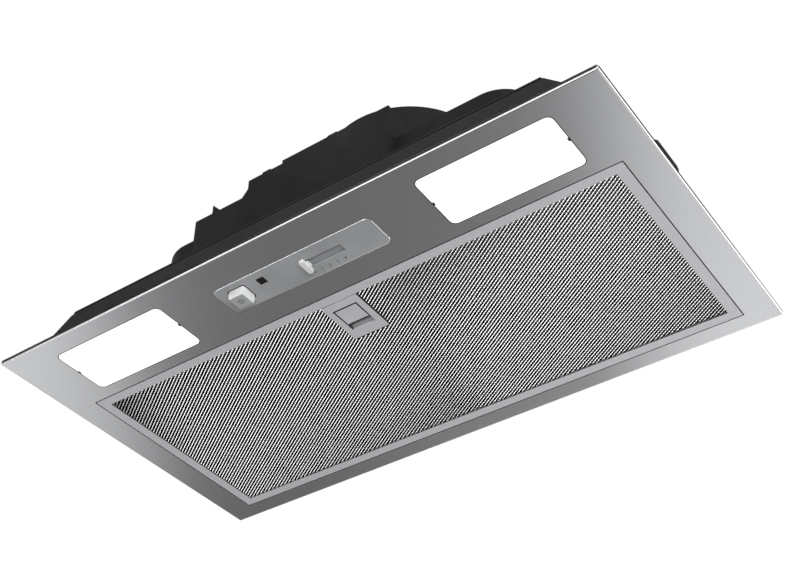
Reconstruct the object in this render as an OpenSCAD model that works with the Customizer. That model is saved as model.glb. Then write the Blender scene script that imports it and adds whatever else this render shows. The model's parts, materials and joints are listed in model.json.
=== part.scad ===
// Built-in range hood insert, seen from below as it hangs in a cabinet.
// X runs along the width, +Y towards the wall, +Z up. The origin is the centre of the
// cabinet cut-out, in the plane where the rim of the face plate meets the cabinet.

/* [Face plate] */
// Width of the face plate
plate_w = 520; // [514:1:560]
// Depth of the face plate
plate_d = 288; // [286:1:300]
// Thickness of the stainless sheet
plate_t = 0.8; // [0.6:0.1:1.0]
// Height of the folded rim, from show face to cabinet
rim_h = 3.2; // [3.0:0.1:5.0]
// Outer radius of the rim bend and of the corners
bend_r = 1.6; // [1.4:0.1:2.0]
// Depth of the front zone that holds lamps and controls
front_zone = 79; // [79:0.5:84]
// Clearance round lenses, panel and filter in the plate
inlay_gap = 0.5; // [0.4:0.1:0.8]

/* [Grease filter] */
// Margin of plate at each side of the cassette
filter_side = 24.5; // [24:0.5:32]
// Thickness of the cassette
filter_h = 9; // [8:0.5:10]
// Visible width of the cassette frame
filter_rim = 8.8; // [7:0.1:12]
// Margin of plate behind the cassette
filter_back = 17; // [17:0.5:19]
// Sheet thickness of the cassette frame
filter_t = 0.7; // [0.5:0.1:0.9]
// Openings of the mesh along the width
mesh_cols = 25; // [12:1:25]
// Openings of the mesh along the depth
mesh_rows = 12; // [6:1:12]

/* [Latch] */
// Width of the latch housing
latch_w = 31.5; // [30:0.5:36]
// Depth of the latch housing behind the filter frame
latch_d = 42; // [42:0.5:46]
// Width of the finger pad
pad_w = 20; // [16:0.5:20]
// Depth of the finger pad
pad_d = 17.6; // [16:0.2:18]
// Travel of the latch
latch_travel = 6; // [5:0.5:6]

/* [Lamps] */
// Width of a lamp cover
lens_w = 104; // [90:1:106]
// Depth of a lamp cover
lens_d = 50; // [44:1:50]
// Corner radius of a lamp cover
lens_r = 5; // [4:0.5:8]
// Margin of plate outside each lamp
lens_side = 43; // [43:0.5:50]
// Margin of plate in front of the lamps
lens_front = 17.3; // [17.3:0.1:19]

/* [Controls] */
// Width of the control panel
panel_w = 140; // [136:1:150]
// Depth of the control panel
panel_d = 29.5; // [28:0.5:32]
// Corner radius of the control panel
panel_r = 5; // [3:0.5:7]
// Thickness of the control panel
panel_t = 2.5; // [2.4:0.1:2.8]
// Width of the light button at its foot
button_w = 14.6; // [13.6:0.2:15]
// Depth of the light button at its foot
button_d = 14.6; // [13.6:0.2:15]
// How far each side of the light button draws in down to its face
button_draft = 1.1; // [0.8:0.1:1.4]
// Height of the light button below the plate
button_out = 7; // [6:0.5:8]
// Travel of the light button
button_travel = 3; // [2:0.5:3.5]
// Side of the square indicator window
window_s = 6.6; // [5:0.2:7]
// Length of the slider knob across the groove
knob_d = 13.6; // [12:0.2:15]
// Width of the slider knob
knob_w = 4.1; // [3.6:0.1:5]
// Height of the slider knob below the plate
knob_out = 3.5; // [3:0.5:5]
// Travel of the speed slider
slider_travel = 27; // [24:1:28]
// Width of the slider groove
groove_d = 7.5; // [6:0.5:8]

/* [Casing] */
// Wall thickness of the black casings
wall = 2; // [1.6:0.1:2.2]
// Margin of plate at each end of the lower casing
tub_side = 15; // [13:0.5:16]
// Margin of plate in front of and behind the lower casing
tub_margin = 13; // [12:0.5:13]
// How far each end slopes in up to the deck
end_slope = 34.5; // [31:0.5:40]
// Height of the deck above the show face
deck_h = 44.6; // [44:0.1:48]
// How far the front wall leans back up to the deck
tub_lean = 9; // [7:0.5:9]
// Width of the deck beside the upper casing
deck_side = 36.5; // [32:0.5:42]
// Depth of the deck before the upper casing, from the foot of the lower one
deck_front = 50.5; // [49:0.5:53]
// Corner radius of the upper casing
mid_r = 32; // [24:1:36]
// Step from the blower dome down to the upper casing
mid_drop = 27; // [23:0.5:29]
// Step from the blower dome down to the electrical bay
bay_drop = 16; // [13:0.5:18]
// Width of the electrical bay
bay_w = 56.5; // [54:0.5:60]

/* [Air outlet] */
// Outer radius of the outlet collar
collar_r = 75; // [74:0.5:75]
// Distance of the outlet before the fan axis
outlet_in = 11.3; // [10:0.1:13]
// Height of the collar's edge above its foot
collar_rise = 41; // [36:0.5:44]
// Height of the collar's plinth above the blower dome
plinth_rise = 35; // [31:0.5:38]
// Wall of the collar
collar_t = 1.8; // [1.5:0.1:2.0]
// Thickness of the damper flaps
flap_t = 1.2; // [0.8:0.1:1.4]

/* [Blower] */
// Outer radius of the fan wheel
wheel_r = 52; // [48:1:53]
// Half length of the fan wheel
wheel_x = 54; // [50:1:55]
// Blades of the fan wheel
blades = 28; // [20:1:32]
// Space between the filter and the scroll
scroll_gap = 5.33; // [5:0.01:7]
// Space between the scroll and the back wall
back_gap = 5.7; // [5:0.1:7]
// Radius of the motor
motor_r = 34; // [30:1:35]
// Radius of the motor shaft
shaft_r = 4; // [3:0.5:5]

/* [Side clips] */
// Length of a side clip along the cut-out
clip_l = 38; // [36:1:60]
// Height of a side clip's top above the show face
clip_top = 44; // [42:0.5:46]
// Radius of the clip's pivot pin
clip_pin_r = 1.5; // [1.2:0.1:1.8]
// Radius of the four fixing screw holes
fixing_r = 2.25; // [2.0:0.05:2.5]

/* [Hidden] */
$fn = 48;
run = 0.05;
part_gap = 0.3;
cut = 1;
face_z = -rim_h;

// Colours
c_steel = [0.72, 0.73, 0.74];
c_alu = [0.80, 0.81, 0.82];
c_black = [0.13, 0.13, 0.14];
c_panel = [0.60, 0.61, 0.62];
c_knob = [0.82, 0.82, 0.83];
c_white = [0.97, 0.97, 0.96];
c_zinc = [0.62, 0.64, 0.66];
c_brass = [0.78, 0.62, 0.32];

// Plan positions of what shows in the plate
service_y = -plate_d/2 + lens_front + lens_d/2;
lens_x = plate_w/2 - lens_side - lens_w/2;
filter_w = plate_w - 2*filter_side;
filter_d = plate_d - front_zone - filter_back;
filter_y1 = plate_d/2 - filter_back;
filter_y0 = filter_y1 - filter_d;
filter_yc = (filter_y0 + filter_y1)/2;
filter_ins = filter_t + 0.2;
mesh_t = 0.6;
mesh_y0 = filter_y0 + filter_rim;
hook_w = 18;
hook_x = filter_w/2 - 85.5;
hook_out = 5;
hook_h = 2.4;
hook_t = 1;

// Latch, from its place in the filter
latch_proud = 0.8;
latch_top = 6.6;
latch_skin = 1.2;
latch_y0 = mesh_y0 + 0.3;
latch_y1 = latch_y0 + latch_d;
pad_y0 = latch_y0 + 7.4;
pad_y1 = pad_y0 + pad_d;
recess_y1 = pad_y1 + 7.4;
slide_t = 2.4;
slide_h0 = latch_skin + 0.3;
slide_h1 = slide_h0 + slide_t;
slide_w = 25;
slide_y0 = latch_y0 + 2.6;
slide_y1 = latch_y1 - 2 - latch_travel - 0.6;
bolt_w = 10;
bolt_tip = filter_y0 - inlay_gap + part_gap;
post_y = slide_y0 + 16;
latch_spring_r = 1.1;

// Controls on the panel
button_x = -panel_w/2 + 17.7;
button_y = service_y - 0.95;
window_x = button_x + 21.4;
window_y = service_y - 4.6;
knob_x = 5.9;
knob_y = service_y - 0.1;
groove_x0 = 2;
groove_x1 = knob_x + slider_travel + 5.1;
groove_deep = 1;
strip_h0 = groove_deep + 0.3;
strip_h1 = strip_h0 + 0.7;
strip_d = groove_d + 1;
strip_x0 = groove_x0 - knob_x - slider_travel - 1;
strip_x1 = groove_x1 - knob_x + 1;
stem_w = 2.6;
stem_d = 2.4;
carriage_w = 10;
carriage_d = 12;
flange_over = 1.8;
control_gap = 0.35;
control_top = 27;
lead_x = panel_w/2 - 15;
lead_r = 4;
switch_floor = 12;
speed_floor = 6.2;

// Lamp compartment
lamp_wall = 1.4;
lamp_top = deck_h - 15;
lamp_half_x = lens_w/2 + 2.4;
lens_t = 1.8;
lens_skirt = 4;
bulb_r = (lamp_top - lamp_wall - lens_t - lens_skirt)/2 - 1.2;
bulb_h = (lamp_top - lamp_wall + lens_t + lens_skirt)/2 - 0.5;
bulb_l = 58;
bulb_cap_r = 0.68*bulb_r;
bulb_cap_l = 14;

// Casing, in plan
tub_x = plate_w/2 - tub_side;
tub_y = plate_d/2 - tub_margin;
deck_x = tub_x - end_slope;
mid_x = deck_x - deck_side;
mid_front = tub_y - deck_front;
mid_back = tub_y - 10;

// Blower, from the filter up and from the back wall forwards
scroll_x = wheel_x + 7;
scroll_r0 = wheel_r + 5;
scroll_r1 = wheel_r + 24;
fan_h = filter_h + scroll_radius(180) + scroll_gap;
fan_y = mid_back - wall - scroll_radius(90) - back_gap;
outlet_y = fan_y - outlet_in;

// Casing heights above the show face
dome_x = scroll_x + 7;
dome_h = fan_h + scroll_r0 - 4;
mid_h = dome_h - mid_drop;
bay_h = dome_h - bay_drop;
plinth_h = dome_h + plinth_rise;
collar_top = plinth_h + collar_rise;

// Casing details
tub_shoulder = 4;
tub_flange = 6;
tub_flange_t = 1.4;
seam_drop = 1.6;
seam_w = 1.4;
seam_in = 0.9;
flange = 8;
flange_t = 2.4;
dome_step = 3.4;
dome_front = mid_front + 10;
bay_front = mid_front + 7.5;
bay_x1 = -dome_x;
bay_x0 = bay_x1 - bay_w;
bay_back = -bay_front + 58;
rib_l = 8;
plinth_r = collar_r + 8.2;
screw_r = 1.5;
screw_hole = 1.9;
screw_head = 3.4;
screw_head_t = 2;

// Welded studs that hold the plate to the lower casing's flange
stud_x = tub_x + tub_flange/2;
stud_in = 31;
stud_places = [
    for (x = [-stud_x, stud_x], y = [-tub_y + stud_in, filter_yc, tub_y - stud_in]) [x, y]
];

// Fixing holes in the front and back walls, for screws into the cabinet board
fixing_x = tub_x - 21;
fixing_h = 12;

// Screws that join the two casings
casing_screw_in = 40;
casing_screw_places = [
    for (x = [-1, 1], y = [-mid_front + casing_screw_in, (mid_back - mid_front)/2, mid_back - casing_screw_in])
        [x*(mid_x + flange/2), y]
];

// Ribs on top of the electrical bay and the dome
rib_w = 8;
rib_rise = 9;
bay_rib_x = bay_x0 + 17.5;
dome_rib_x = -dome_x + 14;
spine_x = 15;
spine_w = 6;

// Electrical bay
gland_x = bay_x0 + 24.5;
gland_y = -bay_front + 24;
gland_r = 8;
gland_rim = 3;
cable_r = 4;
cap_r = 13;
cap_x = bay_x0 + wall + cap_r + 3;
cap_y = -bay_front + 71.5;
cap_l = 49;
terminal_x = bay_x0 + 27.5;
terminal_y = -bay_front + 30;
terminal_w = 26;
terminal_d = 28;
terminal_h1 = bay_h - 31;
terminal_h0 = terminal_h1 - 18;
terminal_hole_r = 2;
hatch_y = -bay_front + 32;
hatch_h = bay_h - 36;
hatch_w = 28;
hatch_rise = 38;
hatch_edge = 4;
hatch_t = 1.6;

// Blower
wheel_bore_r = wheel_r - 11;
scroll_wall = 1.8;
throat_top = dome_h - dome_step - wall - 0.6;
inlet_r = wheel_bore_r + 2;
motor_x0 = -dome_x + wall + 2;
motor_x1 = -16;
shaft_x0 = motor_x0 + 3;
shaft_x1 = 14;
bearing_r = 9;
bearing_l = 6;
arm_w = 8;
arm_angles = [30, 150, 270];
arm_out = inlet_r + 9;
bracket_t = 2;

// Collar
collar_foot = 2;
collar_screw_r = collar_r + 4.2;
collar_screw_places = [
    for (a = [45:90:315]) [collar_screw_r*cos(a), outlet_y + collar_screw_r*sin(a)]
];

// Damper
damper_z = plinth_h + 14;
damper_pin_r = 1.5;
flap_r = collar_r - collar_t - 0.8;
flap_start = 4;
knuckle_r = 3;
ledge_w = 2;

// Side clips
clip_pin_x = tub_x - 3;
clip_pin_h = 14;
clip_ear_t = 3;
clip_knuckle_r = 3.2;
clip_knuckle_l = 14;
clip_t = 2.2;
clip_out = 11;
clip_lip = 6.5;
clip_bulge = 16;
clip_foot_h = clip_pin_h + 8;
clip_tip_h = clip_pin_h + 16;
clip_y = -21;
clip_corner = 14;
clip_spring_w = 12;

function up(h) = face_z + h;
// Outer face of the leaning front wall at a height, and of the sloping ends
function front_y(h) = -tub_y + tub_lean*h/deck_h;
function end_x(h) = tub_x - (tub_x - deck_x)*(h - tub_shoulder)/(deck_h - tub_shoulder);

// Rectangle with round corners, centred
module rrect(w, d, r) {
    square([w - 2*r, d], center = true);
    square([w, d - 2*r], center = true);
    for (x = [-1, 1], y = [-1, 1])
        translate([x*(w/2 - r), y*(d/2 - r)])
            circle(r);
}

// Block with round upright corners, from height h0 to h1 above the show face
module rblock(w, d, r, h0, h1) {
    translate([0, 0, up(h0)])
        linear_extrude(h1 - h0)
            rrect(w, d, r);
}

// Plain block between two corners, heights above the show face
module block(x0, x1, y0, y1, h0, h1) {
    translate([x0, y0, up(h0)])
        cube([x1 - x0, y1 - y0, h1 - h0]);
}

// Round bar along X, at y and height h
module x_bar(r, x0, x1, y, h) {
    translate([x0, y, up(h)])
        rotate([0, 90, 0])
            cylinder(r = r, h = x1 - x0);
}

// Round bar along Y, at x and height h
module y_bar(r, y0, y1, x, h) {
    translate([x, y0, up(h)])
        rotate([-90, 0, 0])
            cylinder(r = r, h = y1 - y0);
}

// Round bar along Z
module z_bar(r, x, y, h0, h1) {
    translate([x, y, up(h0)])
        cylinder(r = r, h = h1 - h0);
}

// Outline in X and height, extruded along Y
module xz_plate(points, y0, y1) {
    translate([0, y1, face_z])
        rotate([90, 0, 0])
            linear_extrude(y1 - y0)
                polygon(points);
}

// Outline in Y and height, extruded along X
module yz_plate(points, x0, x1) {
    translate([x0, 0, face_z])
        rotate([90, 0, 90])
            linear_extrude(x1 - x0)
                polygon(points);
}

// Tray with a rounded fold all round its lower edge
module tray(w, d, r, h0, h1) {
    rblock(w, d, r, h0 + r, h1);
    block(-w/2 + r, w/2 - r, -d/2 + r, d/2 - r, h0, h0 + 2*r);
    for (y = [-1, 1])
        x_bar(r, -w/2 + r, w/2 - r, y*(d/2 - r), h0 + r);
    for (x = [-1, 1])
        y_bar(r, -d/2 + r, d/2 - r, x*(w/2 - r), h0 + r);
    for (x = [-1, 1], y = [-1, 1])
        translate([x*(w/2 - r), y*(d/2 - r), up(h0 + r)])
            sphere(r);
}

// A copy of the children at each lamp
module at_lamp(side) {
    translate([side*lens_x, service_y, 0])
        children();
}

module face_plate() {
    color(c_steel)
    difference() {
        tray(plate_w, plate_d, bend_r, 0, rim_h);
        tray(plate_w - 2*plate_t, plate_d - 2*plate_t, bend_r - plate_t, plate_t, rim_h + cut);
        translate([0, filter_yc, 0])
            rblock(filter_w + 2*inlay_gap, filter_d + 2*inlay_gap, 1, -cut, rim_h);
        for (side = [-1, 1])
            at_lamp(side)
                rblock(lens_w + 2*inlay_gap, lens_d + 2*inlay_gap, lens_r + inlay_gap, -cut, rim_h);
        translate([0, service_y, 0])
            rblock(panel_w + 0.2, panel_d + 0.2, panel_r + 0.1, -cut, rim_h);
    }
}

module filter_frame() {
    color(c_alu)
    difference() {
        translate([0, filter_yc, 0])
            rblock(filter_w, filter_d, 1, 0, filter_h);
        translate([0, filter_yc, 0])
            block(-filter_w/2 + filter_rim, filter_w/2 - filter_rim,
                  -filter_d/2 + filter_rim, filter_d/2 - filter_rim, -cut, filter_h + cut);
        translate([0, filter_yc, 0])
            block(-filter_w/2 + filter_t, filter_w/2 - filter_t,
                  -filter_d/2 + filter_t, filter_d/2 - filter_t, filter_t, filter_h - filter_t);
        block(-bolt_w/2 - part_gap, bolt_w/2 + part_gap, filter_y0 - cut, filter_y0 + cut,
              slide_h0 - part_gap, slide_h1 + part_gap);
        for (x = [-1, 1])
            block(x*hook_x - hook_w/2, x*hook_x + hook_w/2, filter_y1 - cut, filter_y1 + cut,
                  hook_h, hook_h + hook_t);
    }
}

// One mesh sheet with its diamond openings
module mesh_sheet(h0) {
    w = filter_w - 2*filter_ins;
    d = filter_d - 2*filter_ins;
    pitch_x = (w - 2*filter_rim)/mesh_cols;
    pitch_y = (d - 2*filter_rim)/mesh_rows;
    translate([0, filter_yc, up(h0)])
        linear_extrude(mesh_t)
            difference() {
                square([w, d], center = true);
                for (i = [0:mesh_cols - 1], j = [0:mesh_rows - 1])
                    translate([(i + 0.5 - mesh_cols/2)*pitch_x, (j + 0.5 - mesh_rows/2)*pitch_y])
                        polygon([[-0.42*pitch_x, 0], [0, -0.42*pitch_y],
                                 [0.42*pitch_x, 0], [0, 0.42*pitch_y]]);
            }
}

// Space that the latch takes out of the filter's layers
module latch_space() {
    block(-latch_w/2 - 0.1, latch_w/2 + 0.1, filter_y0, latch_y1 + 0.1, -cut, latch_top + 0.1);
}

module filter_mesh() {
    color(c_alu)
    difference() {
        mesh_sheet(filter_t);
        latch_space();
    }
}

module filter_core() {
    color(c_zinc)
    difference() {
        translate([0, filter_yc, 0])
            rblock(filter_w - 2*filter_ins, filter_d - 2*filter_ins, 1,
                   filter_t + mesh_t, filter_h - filter_t - mesh_t);
        latch_space();
        for (x = [-1, 1])
            block(x*hook_x - hook_w/2 - 0.2, x*hook_x + hook_w/2 + 0.2,
                  filter_y1 - filter_rim, filter_y1, 1, hook_h + 2*hook_t);
    }
}

module filter_top_mesh() {
    color(c_alu)
        mesh_sheet(filter_h - filter_t - mesh_t);
}

// Two tongues that hang the back of the cassette in the casing
module filter_hooks() {
    color(c_alu)
    for (x = [-1, 1])
        difference() {
            block(x*hook_x - hook_w/2, x*hook_x + hook_w/2, filter_y1 - 5, filter_y1 + hook_out,
                  hook_h, hook_h + hook_t);
            for (e = [-1, 1])
                translate([x*hook_x + e*hook_w/2, filter_y1 + hook_out, up(hook_h - cut)])
                    rotate([0, 0, 45])
                        cube([3, 3, 4*cut], center = true);
        }
}

module latch_housing() {
    color(c_alu)
    difference() {
        union() {
            block(-latch_w/2, latch_w/2, latch_y0, latch_y1, -latch_proud, latch_top);
            block(-latch_w/2, latch_w/2, filter_y0 + filter_t + 0.2, latch_y0, filter_t, latch_top);
        }
        block(-pad_w/2 - part_gap, pad_w/2 + part_gap, pad_y0 - part_gap, recess_y1,
              -latch_proud - cut, latch_skin + cut);
        block(-slide_w/2 - part_gap, slide_w/2 + part_gap, slide_y0 - part_gap,
              slide_y1 + latch_travel + 0.6, latch_skin, latch_top - latch_skin);
        block(-slide_w/2 - 0.6, slide_w/2 + 0.6, slide_y0 - 0.6, latch_y1 - 1.6,
              latch_top - latch_skin, latch_top + cut);
        block(-bolt_w/2 - part_gap, bolt_w/2 + part_gap, filter_y0, slide_y0,
              slide_h0 - part_gap, slide_h1 + part_gap);
        translate([0, filter_yc, 0])
            difference() {
                block(-filter_w/2, filter_w/2, -filter_d/2 - cut, -filter_d/2 + filter_rim + 0.1, -cut,
                      filter_t + 0.05);
                block(-filter_w, filter_w, -filter_d/2 + filter_rim + 0.1, 0, -2*cut, filter_t);
            }
    }
}

// Finger pad, sliding plate and bolt in one moulding
module latch_slide() {
    color(c_alu)
    difference() {
        union() {
            block(-pad_w/2, pad_w/2, pad_y0, pad_y1, -latch_proud, slide_h0);
            block(-slide_w/2, slide_w/2, slide_y0, slide_y1, slide_h0, slide_h1);
            block(-bolt_w/2, bolt_w/2, bolt_tip, slide_y0, slide_h0, slide_h1);
        }
        block(-2.2, 2.2, slide_y0 + 3, post_y + latch_travel + 3, slide_h0 + 0.6, slide_h1 + cut);
        translate([0, pad_y1 + 2, up(-latch_proud - 3)])
            rotate([0, 90, 0])
                cylinder(r = 4, h = pad_w - 4, center = true);
    }
}

module latch_spring() {
    color(c_zinc)
    difference() {
        y_bar(latch_spring_r, slide_y0 + 3, post_y, 0, slide_h0 + 2);
        y_bar(latch_spring_r - 0.4, slide_y0, post_y + cut, 0, slide_h0 + 2);
    }
}

// Lid of the latch, with the post that the spring pushes against
module latch_cover() {
    color(c_alu) {
        block(-slide_w/2 - 0.4, slide_w/2 + 0.4, slide_y0 - 0.4, latch_y1 - 1.8,
              latch_top - latch_skin, latch_top);
        block(-1.8, 1.8, post_y, post_y + 2, slide_h0 + 0.9, latch_top - latch_skin);
    }
}

module lamp_cover(side) {
    color(c_white)
    at_lamp(side)
        difference() {
            union() {
                rblock(lens_w, lens_d, lens_r, 0, lens_t);
                rblock(lens_w - 2, lens_d - 2, lens_r - 1, lens_t, lens_t + lens_skirt);
            }
            rblock(lens_w - 6, lens_d - 6, lens_r - 3, lens_t, lens_t + lens_skirt + cut);
            for (e = [-1, 1])
                block(e*lens_w/2 - 1.2, e*lens_w/2 + 1.2, -1.5, 1.5, -cut, lens_t + lens_skirt + cut);
        }
}

// Side outline of a lamp housing; its front leans with the casing
function lamp_outline(in, top) = [
    [front_y(1) + wall + 0.7 + in, plate_t + 0.2],
    [front_y(top) + wall + 0.7 + in, top],
    [service_y + lens_d/2 + 2.2 - in, top],
    [service_y + lens_d/2 + 2.2 - in, plate_t + 0.2]
];

module lamp_housing(side) {
    x = side*lens_x;
    color(c_white)
    difference() {
        yz_plate(lamp_outline(0, lamp_top), x - lamp_half_x, x + lamp_half_x);
        yz_plate([for (p = lamp_outline(lamp_wall, lamp_top - lamp_wall)) [p[0], p[1] > 2 ? p[1] : -cut]],
                 x - lamp_half_x + lamp_wall, x + lamp_half_x - lamp_wall);
        block(x - lens_w/2 - 0.1, x + lens_w/2 + 0.1, front_y(0), service_y + lens_d/2 + 0.2,
              -cut, lens_t + lens_skirt + 0.3);
        x_bar(bulb_cap_r + 0.6, x - side*lamp_half_x - 3, x - side*lamp_half_x + 3, service_y, bulb_h);
    }
}

module lamp_socket(side) {
    x0 = lens_x - lamp_half_x + lamp_wall + 0.2;
    color("ivory")
    mirror([side < 0 ? 1 : 0, 0, 0])
        difference() {
            x_bar(bulb_cap_r + 3, x0, x0 + bulb_cap_l + 4, service_y, bulb_h);
            x_bar(bulb_cap_r + 0.2, x0 + 4, x0 + bulb_cap_l + 4 + cut, service_y, bulb_h);
        }
}

module lamp_bulb(side) {
    x0 = lens_x - lamp_half_x + lamp_wall + 4.4;
    color([1, 0.98, 0.9])
    mirror([side < 0 ? 1 : 0, 0, 0]) {
        x_bar(bulb_cap_r, x0, x0 + bulb_cap_l, service_y, bulb_h);
        x_bar(bulb_r, x0 + bulb_cap_l, x0 + bulb_cap_l + bulb_l, service_y, bulb_h);
        translate([x0 + bulb_cap_l + bulb_l, service_y, up(bulb_h)])
            sphere(bulb_r);
    }
}

module control_panel() {
    color(c_panel)
    difference() {
        translate([0, service_y, 0]) {
            rblock(panel_w, panel_d, panel_r, -0.2, panel_t);
            rblock(panel_w + 6, panel_d - 4, panel_r, plate_t, panel_t);
        }
        translate([button_x, button_y, 0])
            rblock(button_w + 2*control_gap, button_d + 2*control_gap, 2.5, -cut, panel_t + cut);
        block(window_x - window_s/2 - 0.05, window_x + window_s/2 + 0.05,
              window_y - window_s/2 - 0.05, window_y + window_s/2 + 0.05, -cut, panel_t + cut);
        block(groove_x0, groove_x1, knob_y - groove_d/2, knob_y + groove_d/2, -cut, panel_t);
        block(knob_x + strip_x0 - part_gap, knob_x + slider_travel + strip_x1 + part_gap,
              knob_y - strip_d/2 - part_gap, knob_y + strip_d/2 + part_gap, groove_deep, panel_t + cut);
    }
}

module control_box() {
    w = panel_w - 6;
    d = panel_d - 4;
    color(c_black)
    difference() {
        translate([0, service_y, 0])
            rblock(w, d, 2, panel_t, control_top);
        translate([0, service_y, 0])
            rblock(w - 3, d - 3, 1, panel_t - cut, control_top - 1.5);
        z_bar(lead_r, lead_x, service_y, control_top - 3, control_top + cut);
    }
}

// Side outline of the light button, straight where it slides and drawn in below the panel
function button_sides(w) = [
    [-w/2, panel_t + 0.3 + cut], [w/2, panel_t + 0.3 + cut], [w/2, 0],
    [w/2 - button_draft, -button_out - run], [-w/2 + button_draft, -button_out - run], [-w/2, 0]
];

module light_button() {
    color(c_knob)
    translate([button_x, button_y, 0]) {
        intersection() {
            rblock(button_w, button_d, 2.2, -button_out, panel_t + 0.3);
            xz_plate(button_sides(button_w), -button_d, button_d);
            yz_plate(button_sides(button_d), -button_w, button_w);
        }
        rblock(button_w + 2*flange_over, button_d + 2*flange_over, 2, panel_t + 0.3, panel_t + 1.8);
        z_bar(2, 0, 0, panel_t + 1.8, switch_floor - button_travel - 0.4);
    }
}

module button_spring() {
    color(c_zinc)
    translate([button_x, button_y, 0])
        difference() {
            z_bar(5, 0, 0, panel_t + 1.8, switch_floor);
            z_bar(4.3, 0, 0, panel_t + 1, switch_floor + cut);
        }
}

module light_switch() {
    color(c_black)
    translate([button_x, button_y, 0])
        rblock(18, 18, 1, switch_floor, control_top - 1.8);
}

module indicator_window() {
    color([0.05, 0.05, 0.06])
        block(window_x - window_s/2, window_x + window_s/2, window_y - window_s/2,
              window_y + window_s/2, -0.1, panel_t + 1);
}

module indicator_lamp() {
    color([0.8, 0.25, 0.2]) {
        z_bar(1.5, window_x, window_y, panel_t + 1.4, switch_floor);
        block(window_x - 3, window_x + 3, window_y - 3, window_y + 3, switch_floor, control_top - 1.8);
    }
}

module speed_slider() {
    color(c_knob)
    translate([knob_x, knob_y, 0]) {
        rblock(knob_w, knob_d, 1, -knob_out, -0.5);
        rblock(knob_w + 2.6, groove_d - 1, 1, -0.5, strip_h0);
        block(strip_x0, strip_x1, -strip_d/2, strip_d/2, strip_h0, strip_h1);
        block(-stem_w/2, stem_w/2, -stem_d/2, stem_d/2, strip_h1, panel_t + 0.3);
        rblock(carriage_w, carriage_d, 1, panel_t + 0.3, panel_t + 1.8);
        block(-stem_w/2, stem_w/2, -stem_d/2, stem_d/2, panel_t + 1.8, speed_floor + 3);
    }
}

module speed_switch() {
    color(c_black)
    difference() {
        block(knob_x - 9, knob_x + slider_travel + 9, knob_y - 8, knob_y + 8,
              speed_floor, control_top - 1.8);
        block(knob_x - stem_w/2 - control_gap, knob_x + slider_travel + stem_w/2 + control_gap,
              knob_y - stem_d/2 - control_gap, knob_y + stem_d/2 + control_gap,
              speed_floor - cut, speed_floor + 3.4);
    }
}

// Solid outline of the lower casing, drawn in by a distance
module tub_form(in, h0, h1) {
    intersection() {
        xz_plate([
            [-tub_x + in, h0], [-tub_x + in, tub_shoulder], [-deck_x + in, h1],
            [deck_x - in, h1], [tub_x - in, tub_shoulder], [tub_x - in, h0]
        ], -plate_d, plate_d);
        yz_plate([
            [-tub_y + in, h0], [-tub_y + tub_lean + in, h1], [tub_y - in, h1], [tub_y - in, h0]
        ], -plate_w, plate_w);
    }
}

module lower_casing() {
    color(c_black)
    difference() {
        union() {
            tub_form(0, plate_t, deck_h);
            block(-tub_x - tub_flange, tub_x + tub_flange, -tub_y - 4, tub_y + 4, plate_t,
                  plate_t + tub_flange_t);
            for (x = [-1, 1], e = [-1, 1])
                clip_ear(x, e);
        }
        tub_form(wall, plate_t - cut, deck_h - wall);
        // Seam where the deck is joined to the walls
        difference() {
            block(-plate_w, plate_w, -plate_d, plate_d, deck_h - seam_drop - seam_w, deck_h - seam_drop);
            tub_form(seam_in, plate_t, deck_h);
        }
        block(-mid_x + flange, mid_x - flange, -mid_front + flange, mid_back - flange,
              deck_h - wall - cut, deck_h + cut);
        for (x = [-1, 1])
            block(x*hook_x - hook_w/2 - 2, x*hook_x + hook_w/2 + 2, tub_y - wall - cut, tub_y + 5,
                  plate_t - cut, hook_h + hook_t + hook_out + 1.6);
        for (p = casing_screw_places)
            z_bar(screw_r + 0.1, p[0], p[1], deck_h - wall - cut, deck_h + cut);
        for (p = stud_places)
            z_bar(screw_r + 0.1, p[0], p[1], plate_t - cut, plate_t + 2);
        for (x = [-1, 1])
            y_bar(clip_pin_r, clip_y - clip_l/2 - 2*clip_ear_t, clip_y + clip_l/2 + 2*clip_ear_t,
                  x*clip_pin_x, clip_pin_h);
        for (x = [-1, 1])
            y_bar(fixing_r, -tub_y - cut, tub_y + cut, x*fixing_x, fixing_h);
    }
}

// Ear that holds one end of a side clip's pin
module clip_ear(x, e) {
    y = clip_y + e*(clip_l/2 + clip_ear_t/2 + part_gap);
    intersection() {
        union() {
            y_bar(clip_knuckle_r + 0.3, y - clip_ear_t/2, y + clip_ear_t/2, x*clip_pin_x, clip_pin_h);
            block(x > 0 ? clip_pin_x - 14 : -clip_pin_x, x > 0 ? clip_pin_x : -clip_pin_x + 14,
                  y - clip_ear_t/2, y + clip_ear_t/2,
                  clip_pin_h - clip_knuckle_r - 0.3, clip_pin_h + clip_knuckle_r + 0.3);
        }
        block(-tub_x - 4, tub_x + 4, y - 5, y + 5, 0, deck_h);
    }
}

// Outer form of the upper casing: body, blower dome, electrical bay and plinth
module upper_form(in) {
    h0 = in > 0 ? deck_h - cut : deck_h;
    translate([0, (mid_back - mid_front)/2, 0])
        rblock(2*(mid_x - in), mid_front + mid_back - 2*in, mid_r - in, h0, mid_h - in);
    difference() {
        block(-dome_x + in, dome_x - in, -dome_front + in, mid_back - in, h0, dome_h - in);
        block(-dome_x - cut, -dome_x/2 - in, -dome_front - cut, 0,
              dome_h - in - dome_step, dome_h + cut);
    }
    block(bay_x0 + in, bay_x1 + in + cut, -bay_front + in, bay_back - in, h0, bay_h - in);
    z_bar(plinth_r - in, 0, outlet_y, h0, plinth_h - in);
}

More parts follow.
